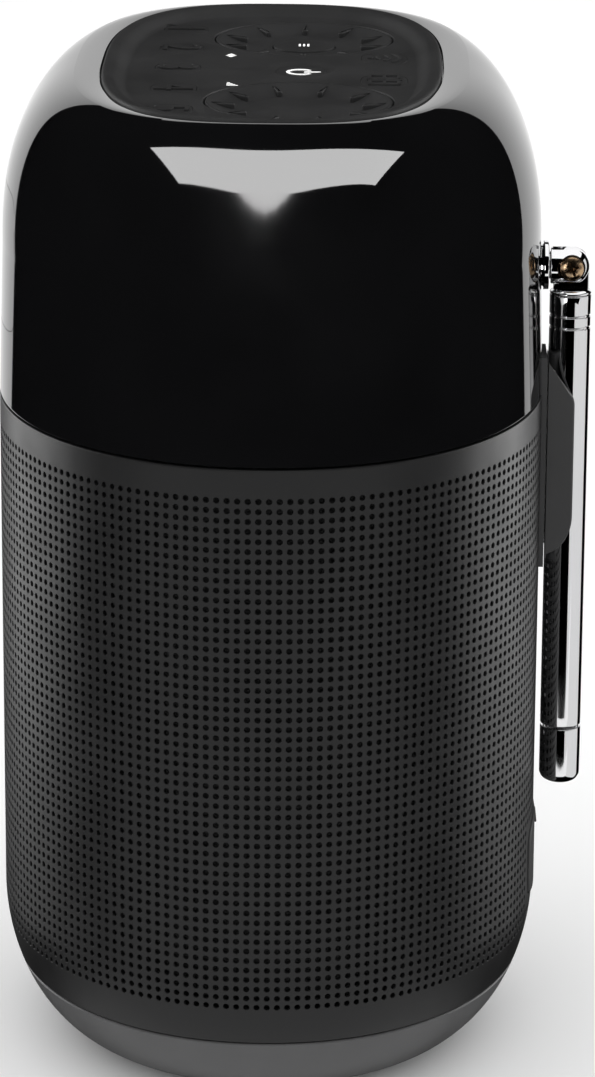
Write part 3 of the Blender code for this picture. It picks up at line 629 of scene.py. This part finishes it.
def outline_at(shape, centre, z, grow=0.0, count=96):
    """A key's outline at a height, grown all round."""
    half_x, half_y, power = shape
    return superellipse(half_x + grow, half_y + grow, power, z, count) + np.array([*centre, 0.0])


def build_pad():
    """The soft control pad: a raised rolled rim that falls to a flat floor, cut for the controls."""
    top, low = PAD_HIGH[2], PAD_LOW[2]
    profile = [(3.0, low), (0.0, low), (0.0, top - 0.9), (0.12, top - 0.4), (0.4, top - 0.1), (0.8, top)]
    profile += [(1.3, top - 0.02), (1.9, top - 0.16)]
    slope_start, slope_end = (1.9, top - 0.16), (4.7, PAD_PLANE)
    for step in range(1, 13):
        t = step / 12
        ease = t * t * (3 - 2 * t)
        profile.append((
            slope_start[0] + (slope_end[0] - slope_start[0]) * t,
            slope_start[1] + (slope_end[1] - slope_start[1]) * (0.35 * t + 0.65 * ease),
        ))
    rings = [superellipse(PAD_X - inset, PAD_Y - inset, TOP_POWER, z) for inset, z in profile]
    pad = loft("control_pad_skin", rings)
    for x, y in (TUNE, VOLUME):
        reach = DIAL_RADIUS + GAP
        hole = [(reach, BELOW_PAD), (reach, PAD_PLANE - 0.25), (reach + 0.3, 184.3)]
        change(pad, moved(turned("tool", hole, 160), x, y, 0))
    for name, shape in KEY_OUTLINES.items():
        rings = [outline_at(shape, key_place(name), z, HAIRLINE) for z in (BELOW_PAD, ABOVE_PAD)]
        change(pad, loft("tool", rings))
    centre = key_place("power_key")
    bowl = []
    for step in range(9):
        t = step / 8
        ease = t * t * (3 - 2 * t)
        bowl.append(outline_at(POWER_OUTLINE, centre, PAD_PLANE - 0.5 + 0.53 * ease, HAIRLINE + 2.2 * t))
    change(pad, loft("tool", [outline_at(POWER_OUTLINE, centre, BELOW_PAD, HAIRLINE), *bowl]))
    finish(shade(pad, 40.0), LOOKS["rubber"], BODY, ["control_pad"])


def build_keys():
    """Key caps level with the pad, each on its stem; the power key is slightly dished."""
    stem_low, cap_low = node_box("preset_key_1")[0][2], 179.6
    for name, shape in [*KEY_OUTLINES.items(), ("power_key", POWER_OUTLINE)]:
        centre = key_place(name)
        top = PAD_PLANE - 0.5 if name == "power_key" else PAD_PLANE
        rings = [outline_at((1.5, 1.5, 2.0), centre, z) for z in (stem_low, cap_low)]
        rings += [outline_at(shape, centre, z) for z in (cap_low, top - 0.04)]
        if name == "power_key":
            for inset in (0.05, 1.0, 2.0, 3.0, 4.0):
                rings.append(outline_at(shape, centre, top - 0.05 * inset, -inset))
        else:
            rings.append(outline_at(shape, centre, top, -0.04))
        key = loft(f"{name}_cap", rings)
        finish(shade(key), LOOKS["rubber"], name, [name])


def rib(centre, angle):
    """One finger rib of a dial: a teardrop ramp, thin at the rim and round and full towards the middle."""
    inner, outer, fat, thin = 11.7, 15.6, 0.5, 0.1
    outline = []
    for step in range(13):
        turn = math.pi / 2 + math.pi * step / 12
        outline.append((inner + fat * math.cos(turn), fat * math.sin(turn)))
    for step in range(7):
        turn = -math.pi / 2 + math.pi * step / 6
        outline.append((outer + thin * math.cos(turn), thin * math.sin(turn)))
    outline = np.array(outline)
    low, high = DIAL_FLOOR - 0.5, PAD_PLANE - 0.2
    piece = prism("rib", outline, low, high - 0.25, 0.35, 6)
    points = np.array([v.co for v in piece.data.vertices]) / MM
    raised = points[:, 2] > low + 0.1
    points[raised, 2] += 0.06 * (points[raised, 0] - inner)
    piece.data.vertices.foreach_set("co", (points * MM).ravel())
    turn = Matrix.Rotation(angle, 4, "Z")
    return place(piece, Matrix.Translation(Vector((*centre, 0.0))) @ turn)


def build_dials():
    """Both dials: a thin rim, a dished face with ten finger ribs, and a hub down to the encoder."""
    rim, floor, radius = PAD_PLANE, DIAL_FLOOR, DIAL_RADIUS
    hub, hub_low = 8.4, node_box("tune_dial")[0][2]
    outside = [(hub, hub_low), (hub, DIAL_BASE), (radius, DIAL_BASE), (radius, rim - 0.25)]
    outside += [(radius - 0.08, rim - 0.08), (radius - 0.25, rim), (radius - 0.5, rim)]
    dish = []
    for step in range(1, 15):
        t = step / 14
        at = DIAL_RADIUS - 0.5 - (DIAL_RADIUS - 0.5 - 9.6) * t
        dish.append((at, floor + (rim - floor) * (1 - math.sin(math.pi / 2 * t)) ** 1.15))
    bore = node_box("menu_key")[1][0] - TUNE[0] + 0.18
    edge = [(bore + 0.15, floor), (bore, floor - 0.15)]
    ring = turned("tune_dial_face", [*outside, *dish, *edge, (bore, hub_low)], 160, hollow=True)
    moved(ring, *TUNE, 0)
    disc = turned("volume_dial_face", [*outside, *dish, (6.0, floor), (3.0, floor - 0.03)], 160)
    moved(disc, *VOLUME, 0)
    for dial, centre, first, body, node in (
        (ring, TUNE, 0.0, "tuning_dial", "tune_dial"),
        (disc, VOLUME, 0.5, "volume_dial", "volume_dial"),
    ):
        for step in range(10):
            change(dial, rib(centre, (step + first) * math.pi / 5), "UNION")
        finish(shade(dial, 38.0), LOOKS["rubber"], body, [node])
    radius, top = node_box("menu_key")[1][0] - TUNE[0], floor + 0.3
    stem_low = node_box("menu_key")[0][2]
    profile = [(1.5, stem_low), (1.5, MENU_SHOULDER), (radius, MENU_SHOULDER), (radius, top - 0.2)]
    profile += [(radius - 0.06, top - 0.06), (radius - 0.2, top), (radius - 1.5, top + 0.02)]
    profile.append((2.0, top + 0.05))
    key = moved(turned("menu_key_cap", profile), *TUNE, 0)
    finish(shade(key), LOOKS["rubber"], "menu_key", ["menu_key"])


def arc_band(centre, inner, outer, start, end, count=28):
    """The outline of a stretch of ring, with angles in degrees."""
    angles = np.radians(np.linspace(start, end, count))
    out = np.stack([np.cos(angles), np.sin(angles)], axis=1)
    return np.vstack([out * outer, out[::-1] * inner]) + np.array(centre)


def bar(centre, half_x, half_y, power=6.0):
    """The outline of a rounded bar."""
    return superellipse(half_x, half_y, power, 0.0, 32)[:, :2] + np.array(centre)


def mark(name, outlines, low, high, body, kind="rubber", edge=0.05):
    """Raised or printed marks on one body, each a small closed prism joined into one piece."""
    parts = [prism(f"{name}_{n}", outline, low, high, edge, 2) for n, outline in enumerate(outlines)]
    base = parts[0]
    base.name = name
    if len(parts) > 1:
        with bpy.context.temp_override(active_object=base, selected_editable_objects=parts):
            bpy.ops.object.join()
    return finish(shade(base), LOOKS[kind], body, ())


def numeral(text, centre, body):
    """A raised numeral, with its top towards the back."""
    curve = bpy.data.curves.new(f"numeral_{text}", "FONT")
    curve.body = text
    curve.size = 10.4 * MM
    curve.align_x = "CENTER"
    curve.align_y = "CENTER"
    curve.offset = -0.12 * MM
    curve.extrude = 0.2 * MM
    curve.bevel_depth = 0.06 * MM
    curve.bevel_resolution = 2
    curve.resolution_u = 8
    source = bpy.data.objects.new("source", curve)
    bpy.context.scene.collection.objects.link(source)
    graph = bpy.context.evaluated_depsgraph_get()
    mesh = bpy.data.meshes.new_from_object(source.evaluated_get(graph))
    bpy.data.objects.remove(source)
    mesh.name = f"numeral_{text}"
    piece = bpy.data.objects.new(f"raised_numeral_{text}", mesh)
    bpy.context.scene.collection.objects.link(piece)
    points = np.array([v.co for v in mesh.vertices])
    middle = (points.min(0) + points.max(0)) / 2 / MM
    moved(piece, centre[0] - middle[0], centre[1] - middle[1], PAD_PLANE + 0.08)
    finish(shade(piece, 40.0), LOOKS["rubber"], body, ())


def build_marks():
    """Raised numerals and symbols on the keys, and the small white prints beside the dials."""
    for n in range(1, 6):
        numeral(str(n), key_place(f"preset_key_{n}"), f"preset_key_{n}")
    low, high = PAD_PLANE - 0.1, PAD_PLANE + 0.3
    x, y = key_place("wireless_key")
    waves = [arc_band((x, y - 2.9), r - 0.35, r + 0.35, 48, 132) for r in (2.0, 3.9, 5.8)]
    waves.append(bar((x, y - 2.7), 0.6, 0.6, 2.0))
    mark("wireless_mark", waves, low, high, "wireless_key")
    x, y = key_place("source_key")
    boxes = []
    for side in (-1, 1):
        cx = x + side * 2.55
        boxes += [bar((cx, y + dy), 1.7, 0.3) for dy in (-2.6, 0.0, 2.6)]
        boxes += [bar((cx + dx, y), 0.3, 2.9) for dx in (-1.55, 1.55)]
    boxes.append(bar((x, y), 0.28, 3.2))
    mark("source_mark", boxes, low, high, "source_key")
    x, y = key_place("power_key")
    top = PAD_PLANE - 0.62
    symbol = [arc_band((x, y - 0.2), 1.95, 2.6, 130, 410, 48), bar((x, y + 2.0), 0.32, 1.55)]
    mark("power_mark", symbol, top - 0.1, top + 0.1, "power_key", "white", 0.02)
    low, high = PAD_PLANE - 0.05, PAD_PLANE + 0.02
    x, y = TUNE[0] + 17.1, TUNE[1] - 13.2
    arrows = [np.array([(x - 0.4, y - 0.8), (x - 0.4, y + 0.8), (x - 1.7, y)])]
    arrows.append(np.array([(x + 0.4, y + 0.8), (x + 0.4, y - 0.8), (x + 1.7, y)]))
    arrows.append(bar((x, y), 0.14, 1.0))
    mark("tune_mark", arrows, low, high, BODY, "white", 0.0)
    x, y = VOLUME[0] - 14.6, VOLUME[1] - 12.3
    heights = ((-1.2, 0.6), (-0.4, 1.1), (0.4, 1.6), (1.2, 2.1))
    steps = [bar((x + dx, y - 0.9 + h / 2), 0.22, h / 2) for dx, h in heights]
    mark("volume_mark", steps, low, high, BODY, "white", 0.0)
    x, y, top = *TUNE, DIAL_FLOOR + 0.36
    lines = [bar((x, y + dy), 1.15, 0.2) for dy in (-0.8, 0.0, 0.8)]
    mark("menu_mark", lines, top - 0.06, top + 0.03, "menu_key", "white", 0.0)


# ---------------------------------------------------------------- antenna

STUD_RADIUS = 3.45
ROD_RADIUS = node_box("antenna_tube")[1][0]
TUBE_LOW, TUBE_HIGH = node_box("antenna_tube")[0][2], node_box("antenna_tube")[1][2]
TIP_LOW, TIP_HIGH = node_box("antenna_tip")[0][2], node_box("antenna_tip")[1][2]
BACKWARDS = (0, 1, 0)


def chrome_piece(piece, body, nodes, kind="chrome", crease=32.0):
    """Finishes one bright antenna piece."""
    finish(shade(piece, crease), LOOKS[kind], body, nodes, "chrome")


def on_rod(piece):
    """Moves a body turned about +Z onto the rod's axis."""
    return moved(piece, 0.0, PIVOT[1], 0.0)


def build_pivot():
    """The bushing, the swivel stud with its forked ear, its nut, and the cross-head screw."""
    at = (0.0, 0.0, PIVOT[2])
    flange = rounded([(3.9, 45.4), (3.9, 50.0), (4.6, 50.0), (4.6, 51.0), (2.8, 51.0)], 0.25)
    bushing = turned("antenna_collar", [*flange, (2.8, 45.4)], 96, hollow=True)
    chrome_piece(lying(bushing, BACKWARDS, at), BODY, ["antenna_bushing"])
    neck = rounded([(2.5, 42.4), (2.5, 51.3), (STUD_RADIUS, 51.3), (STUD_RADIUS, 52.4)], 0.2)
    end = []
    for step in range(1, 17):
        angle = math.pi / 2 * step / 16
        reach = STUD_RADIUS * math.cos(angle)
        if reach > 0.25:
            end.append((reach, 55.6 + 3.05 * math.sin(angle)))
    stud = lying(turned("antenna_ear", [*neck, (STUD_RADIUS, 55.6), *end], 96), BACKWARDS, at)
    change(stud, block((-1.3, 51.7, 140.0), (1.3, 62.0, 156.0)))
    drill(stud, [(1.4, -8.0), (1.4, 8.0)], 48, (1, 0, 0), PIVOT)
    drill(stud, [(2.5, 2.2), (2.5, 2.9), (2.7, 3.2), (2.7, 8.0)], 64, (1, 0, 0), PIVOT)
    chrome_piece(stud, "antenna_swivel", ["antenna_stud"])
    nut = [(4.3, 42.8), (4.6, 43.1), (4.6, 44.7), (4.3, 45.0)]
    nut += [(3.0, 45.0), (2.7, 44.7), (2.7, 43.1), (3.0, 42.8)]
    nut = turned("antenna_back_nut", nut, 6, hollow=True)
    chrome_piece(lying(nut, BACKWARDS, at), "antenna_swivel", ["antenna_nut"], "brass")
    head = [(1.2, -3.1), (1.2, 2.45), (2.2, 2.45), (2.2, 3.05)]
    head += [(2.1, 3.25), (1.8, 3.45), (1.3, 3.6), (0.6, 3.68)]
    screw = turned("pivot_screw_head", head, 72)
    cross = prism("tool", bar((0.0, 0.0), 1.35, 0.26, 4.0), 2.95, 5.0)
    change(screw, cross)
    change(screw, prism("tool", bar((0.0, 0.0), 0.26, 1.35, 4.0), 2.95, 5.0))
    change(screw, prism("tool", bar((0.0, 0.0), 0.62, 0.62, 1.2), 2.75, 5.0))
    turn = Matrix.Rotation(math.radians(24), 4, "Z")
    lying(place(screw, turn), (1, 0, 0), PIVOT)
    chrome_piece(screw, "antenna_swivel", ["pivot_screw"], "brass", 28.0)


def build_knuckle():
    """The flat tongue that tilts on the screw, with the plug and shoulder that close the tube's top."""
    radius, half, foot = 3.3, 1.05, 142.5 - PIVOT[2]
    outline = [(radius, foot), (radius, 0.0)]
    outline += [(radius * math.cos(a), radius * math.sin(a)) for a in np.linspace(0, math.pi, 40)[1:-1]]
    outline += [(-radius, 0.0), (-radius, foot)]
    rings = []
    for x, inset in ((-half, 0.2), (-half + 0.2, 0.0), (half - 0.2, 0.0), (half, 0.2)):
        share = 1 - inset / radius
        rings.append([(x, PIVOT[1] + y * share, PIVOT[2] + z * share) for y, z in outline])
    tongue = loft("antenna_tongue", rings)
    seat = TUBE_HIGH + 0.06
    shoulder = [(2.9, 133.5), (2.9, seat), (ROD_RADIUS, seat), (ROD_RADIUS, 143.1)]
    shoulder = rounded([*shoulder, (3.3, 143.6), (0.8, 143.6)], 0.3)
    change(tongue, on_rod(turned("tool", shoulder, 96)), "UNION")
    drill(tongue, [(1.4, -8.0), (1.4, 8.0)], 48, (1, 0, 0), PIVOT)
    chrome_piece(tongue, "antenna_arm", ["antenna_knuckle"])


def groove(z, depth=0.22, half=0.28):
    """Profile points of a rolled groove around the tube, from below to above."""
    points = []
    for step in range(9):
        angle = math.pi * step / 8
        points.append((ROD_RADIUS - depth * math.sin(angle), z - half * math.cos(angle)))
    return points


def build_tube():
    """The outer tube with its two rolled grooves and their punched dimples, and the lip it ends in."""
    grooves = (136.5, 138.7)
    bore = 3.45
    profile = rounded([(bore, TUBE_LOW), (ROD_RADIUS, TUBE_LOW), (ROD_RADIUS, TUBE_LOW + 2.0)], 0.2)
    for z in grooves:
        profile += groove(z)
    profile += rounded([(ROD_RADIUS, 141.0), (ROD_RADIUS, TUBE_HIGH), (bore, TUBE_HIGH)], 0.2)
    tube = on_rod(turned("antenna_outer_tube", profile, 128, hollow=True))
    for z in grooves:
        for n in range(4):
            angle = math.pi / 4 + n * math.pi / 2
            dimple = turned("tool", [(0.1, 3.62), (0.3, 3.68), (0.42, 3.85), (0.46, 4.4)], 20)
            change(tube, lying(dimple, (math.cos(angle), math.sin(angle), 0), (0.0, PIVOT[1], z)))
    chrome_piece(tube, "antenna_arm", ["antenna_tube"])


def build_sections():
    """The four sliding sections, each rolled in at its lower lip, and the solid rod with the tip on it."""
    for number in range(2, 6):
        low, high = node_box(f"antenna_section_{number}")
        radius, wall = high[0], 0.3
        profile = rounded([(radius - wall, low[2]), (radius, low[2]), (radius, low[2] + 2.0)], 0.12)
        profile += [(radius, high[2] - 1.6), (radius + 0.12, high[2] - 1.4), (radius + 0.12, high[2])]
        profile.append((radius - wall, high[2]))
        section_tube = on_rod(turned(f"antenna_slide_{number}", profile, 72, hollow=True))
        body = f"antenna_section_{number}"
        chrome_piece(section_tube, body, [body])
    low, high = node_box("antenna_rod")
    core = rounded([(0.3, low[2]), (0.85, low[2]), (0.85, high[2]), (0.3, high[2])], 0.2)
    core = turned("antenna_core", core, 32)
    chrome_piece(on_rod(core), "antenna_rod", ["antenna_rod"])
    tip = [(0.4, TIP_LOW)]
    for step in range(13):
        angle = math.pi / 2 * step / 12
        tip.append((2.0 + (ROD_RADIUS - 2.0) * math.sin(angle), TIP_LOW + 1.9 - 1.9 * math.cos(angle)))
    tip += rounded([(ROD_RADIUS, TIP_LOW + 2.6), (ROD_RADIUS, TIP_HIGH), (0.5, TIP_HIGH)], 0.2)
    chrome_piece(on_rod(turned("antenna_end_tip", tip, 128)), "antenna_rod", ["antenna_tip"])


# ---------------------------------------------------------------- cradle, connectors and screws


def build_cradle():
    """The block let into the back, and its two soft lips with their sloped ends."""
    low, high = node_box("antenna_cradle")
    cradle = block(low, high, "cradle_block")
    for number in (1, 2):
        z = float(np.mean([v[2] for v in node_box(f"cradle_screw_{number}")]))
        drill(cradle, [(1.6, -6.0), (1.6, 6.0)], 40, BACKWARDS, (0, low[1], z))
        drill(cradle, [(2.7, 1.1), (2.7, 6.0)], 48, BACKWARDS, (0, low[1], z))
    finish(shade(cradle), LOOKS["plastic"], BODY, ["antenna_cradle"])
    for side in ("left", "right"):
        low, high = node_box(f"cradle_lip_{side}")
        knee = 123.6
        corner = [(high[1] - 4.6, 93.6)]
        for step in range(13):
            t = step / 12
            corner.append((high[1] - 4.6 + 4.6 * math.sin(math.pi / 2 * t) ** 0.9, 93.8 + 7.4 * t**1.5))
        end = rounded([(high[1], 110.0), (high[1], knee), (low[1], high[2])], 1.2)
        outline = [(low[1], low[2]), *corner, *end]
        rings = []
        for x, inset in ((low[0], 0.25), (low[0] + 0.25, 0.0), (high[0] - 0.25, 0.0), (high[0], 0.25)):
            rings.append([(x, y - inset * (y > low[1] + 0.5), z) for y, z in outline])
        lip = loft(f"cradle_cheek_{side}", rings)
        finish(shade(lip, 40.0), LOOKS["plastic"], BODY, [f"cradle_lip_{side}"])


def back_surface(x):
    """How far back the straight wall stands at a place across the back."""
    return BODY_Y * (1 - np.abs(x / BODY_X) ** BODY_POWER) ** (1 / BODY_POWER)


def build_ports():
    """The curved soft cover with rounded edges and a finger lip."""
    low, high = PORT_LOW, PORT_HIGH
    half_x, half_z, middle = high[0], (high[2] - low[2]) / 2, (high[2] + low[2]) / 2
    outline = superellipse(half_x, half_z, 5.0, 0.0, 128)[:, :2]
    rings = []
    for inset, out in ((0.5, -1.5), (0.0, -1.3), (0.0, 0.1), (0.1, 0.26), (0.35, 0.35)):
        shrunk = outline * [1 - inset / half_x, 1 - inset / half_z]
        rings.append([(x, back_surface(x) + out, middle + z) for x, z in shrunk])
    for share in (0.9, 0.75, 0.5, 0.25, 0.05):
        shrunk = outline * [share * (1 - 0.35 / half_x), share * (1 - 0.35 / half_z)]
        rings.append([(x, back_surface(x) + 0.35, middle + z) for x, z in shrunk])
    inside = []
    for share in (0.05, 0.5, 0.9):
        shrunk = outline * [share * (1 - 0.5 / half_x), share * (1 - 0.5 / half_z)]
        inside.append([(x, back_surface(x) - 1.5, middle + z) for x, z in shrunk])
    cover = loft("port_flap", [*[ring[::-1] for ring in inside], *[ring[::-1] for ring in rings]])
    grip = prism("tool", bar((0.0, 0.0), 4.0, 0.35, 3.0), -0.3, 0.25, 0.12)
    change(cover, lying(grip, BACKWARDS, (0.0, BODY_Y + 0.35, middle + half_z - 1.9)), "UNION")
    finish(shade(cover, 40.0), LOOKS["rubber"], "port_cover", ["port_cover"])


CARRIED = {
    "steel": ("base_screw_1", "base_screw_2", "base_screw_3", "base_screw_4", "cradle_screw_1",
              "cradle_screw_2", "charge_socket", "tune_encoder", "volume_encoder", "driver_basket",
              "radiator_frame", "radiator_plate"),
    "plastic": ("sound_box", "port_bezel", "audio_socket", "lcd_module"),
    "rubber": ("driver_surround", "radiator_surround"),
    "cone": ("driver_cone",),
    "magnet": ("driver_magnet",),
    "board": ("key_board", "main_board"),
    "wrap": ("battery_cell_1", "battery_cell_2"),
    "sheath": ("antenna_lead", "key_board_lead"),
}


def dress_carried():
    """Gives the CAD solids that stay their procedural materials."""
    for kind, nodes in CARRIED.items():
        for node in nodes:
            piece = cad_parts[node]
            piece.data.materials.clear()
            piece.data.materials.append(LOOKS[kind])
            GROUPS["matte"].append(piece)


# ---------------------------------------------------------------- studio


def card(name, corners, strength, groups):
    """A lit card in the studio, out of the camera's sight, that lights only the groups named."""
    glow = bpy.data.materials.new(name)
    glow.use_nodes = True
    nodes, links = glow.node_tree.nodes, glow.node_tree.links
    nodes.clear()
    emission = nodes.new("ShaderNodeEmission")
    emission.inputs["Strength"].default_value = strength
    output = nodes.new("ShaderNodeOutputMaterial")
    links.new(emission.outputs["Emission"], output.inputs["Surface"])
    made = new_object(name, np.array(corners) / MM, [[list(range(len(corners)))]])
    made.data.materials.append(glow)
    made.visible_camera = False
    made.visible_shadow = False
    made.visible_diffuse = False
    made.visible_transmission = False
    light_only(made, groups)
    return made


def light_only(source, groups):
    """Links a light or a card to the groups that it lights."""
    lit = bpy.data.collections.new(f"lit_by_{source.name}")
    for group in groups:
        for piece in GROUPS[group]:
            lit.objects.link(piece)
    source.light_linking.receiver_collection = lit


def area_light(name, at, aim, size, power, groups=()):
    """A soft rectangular light aimed at a point, in metres."""
    data = bpy.data.lights.new(name, "AREA")
    data.shape = "RECTANGLE"
    data.size, data.size_y = size
    data.energy = power
    made = bpy.data.objects.new(name, data)
    bpy.context.scene.collection.objects.link(made)
    made.location = at
    made.rotation_euler = (Vector(aim) - Vector(at)).to_track_quat("-Z", "Y").to_euler()
    made.visible_camera = False
    if groups:
        light_only(made, groups)
    return made


def back_outline():
    """The back card's outline as (y, z) in metres: straight sides under a rounded arch."""
    middle_y, middle_z, half_y, half_z, foot = 0.03, 0.1, 0.46, 0.43, -0.4
    steps = 96
    arch = superellipse(half_y, half_z, 3.0, 0.0, steps)[: steps // 2 + 1, :2]
    sides = [(middle_y - half_y, foot), (middle_y + half_y, foot)]
    return [*sides, *((middle_y + y, middle_z + z) for y, z in arch)]


def front_outline():
    """The front card's outline as (y, z) in metres: a lower edge that bows up under a wide top."""
    crown, bow, top, spread = 0.024, 0.21, 0.27, 0.8
    lower = [(y, crown - bow * y * y) for y in np.linspace(-0.45, 0.66, 24)]
    return [*lower, (lower[-1][0] + spread, top), (lower[0][0] - spread / 2, top)]


def build_studio():
    """A pale floor and world, soft lights, and cards whose reflections draw the gloss and the chrome."""
    world = bpy.data.worlds.new("studio")
    bpy.context.scene.world = world
    world.use_nodes = True
    sky = world.node_tree.nodes["Background"]
    sky.inputs["Color"].default_value = (1.0, 1.0, 1.0, 1.0)
    sky.inputs["Strength"].default_value = 1.3
    world.cycles_visibility.glossy = False
    reach = 6000.0
    corners = [(-reach, -reach, 0), (reach, -reach, 0), (reach, reach, 0), (-reach, reach, 0)]
    floor = new_object("floor", corners, [[[0, 1, 2, 3]]])
    pale = look("pale_floor", (0.9, 0.9, 0.9), 0.6, spread=0.05, tint=0.01, patches=400.0)
    floor.data.materials.append(pale)
    floor.visible_glossy = False
    card("back_card", [(-0.55, y, z) for y, z in back_outline()], 1.05, ["gloss", "chrome"])
    card("front_card", [(0.70, y, z) for y, z in front_outline()], 12.5, ["gloss"])
    area_light("overhead", (0.1, 0.0, 0.9), (0, 0, 0.1), (0.8, 0.8), 4.5, ["matte"])
    area_light("left_side", (-0.45, -0.75, 0.2), (0, 0, 0.1), (0.7, 0.9), 4.5, ["matte"])
    area_light("right_side", (-0.45, 0.75, 0.2), (0, 0, 0.1), (0.7, 0.9), 5.0, ["matte"])
    under = area_light("under_light", (0.2, 0.0, -0.3), (0, 0, 0.02), (1.6, 1.6), 4.2, ["matte"])
    under.light_linking.blocker_collection = under.light_linking.receiver_collection
    area_light("front_fill", (1.2, 0.1, 0.9), (0, 0, 0.1), (1.0, 1.0), 1.2, ["matte"])
    side = [(3.7, 1.6, -1.5), (-0.5, 1.6, -1.5), (-0.5, 1.6, 0.8), (3.7, 1.6, 0.8)]
    low = [(0.9, -0.5, -0.6), (0.9, 0.5, -0.6), (0.5, 0.5, -0.12), (0.5, -0.5, -0.12)]
    top = [(-0.4, -0.4, 0.7), (0.4, -0.4, 0.7), (0.4, 0.6, 0.7), (-0.4, 0.6, 0.7)]
    for place_name, corners, strength in (("side", side, 0.8), ("low", low, 1.0), ("top", top, 1.2)):
        card(f"chrome_{place_name}", corners, strength, ["chrome"])


def build_camera():
    """The camera at the photographed view: in front of the radio's right side and above it."""
    distance, across, height = 0.83303, 0.01829, 0.34752
    pitch, yaw, roll = 0.29478, -0.01591, 0.00653
    ahead = Vector((-math.cos(pitch) * math.cos(yaw), math.cos(pitch) * math.sin(yaw), -math.sin(pitch)))
    right = Vector((math.sin(yaw), math.cos(yaw), 0.0)).normalized()
    up = right.cross(ahead)
    right, up = math.cos(roll) * right + math.sin(roll) * up, -math.sin(roll) * right + math.cos(roll) * up
    data = bpy.data.cameras.new("camera")
    data.sensor_fit = "VERTICAL"
    data.sensor_height = 36.0
    data.lens = 154.95
    data.clip_start, data.clip_end = 0.05, 30.0
    made = bpy.data.objects.new("camera", data)
    bpy.context.scene.collection.objects.link(made)
    axes = Matrix((right, up, -ahead)).transposed().to_4x4()
    made.matrix_world = Matrix.Translation(Vector((distance, across, height))) @ axes
    bpy.context.scene.camera = made


build_camera()
build_base()
build_foot()
build_sleeve()
build_cap()
build_pad()
build_keys()
build_dials()
build_marks()
build_pivot()
build_knuckle()
build_tube()
build_sections()
build_cradle()
build_ports()
dress_carried()
build_studio()
bpy.context.scene.view_settings.view_transform = "Standard"
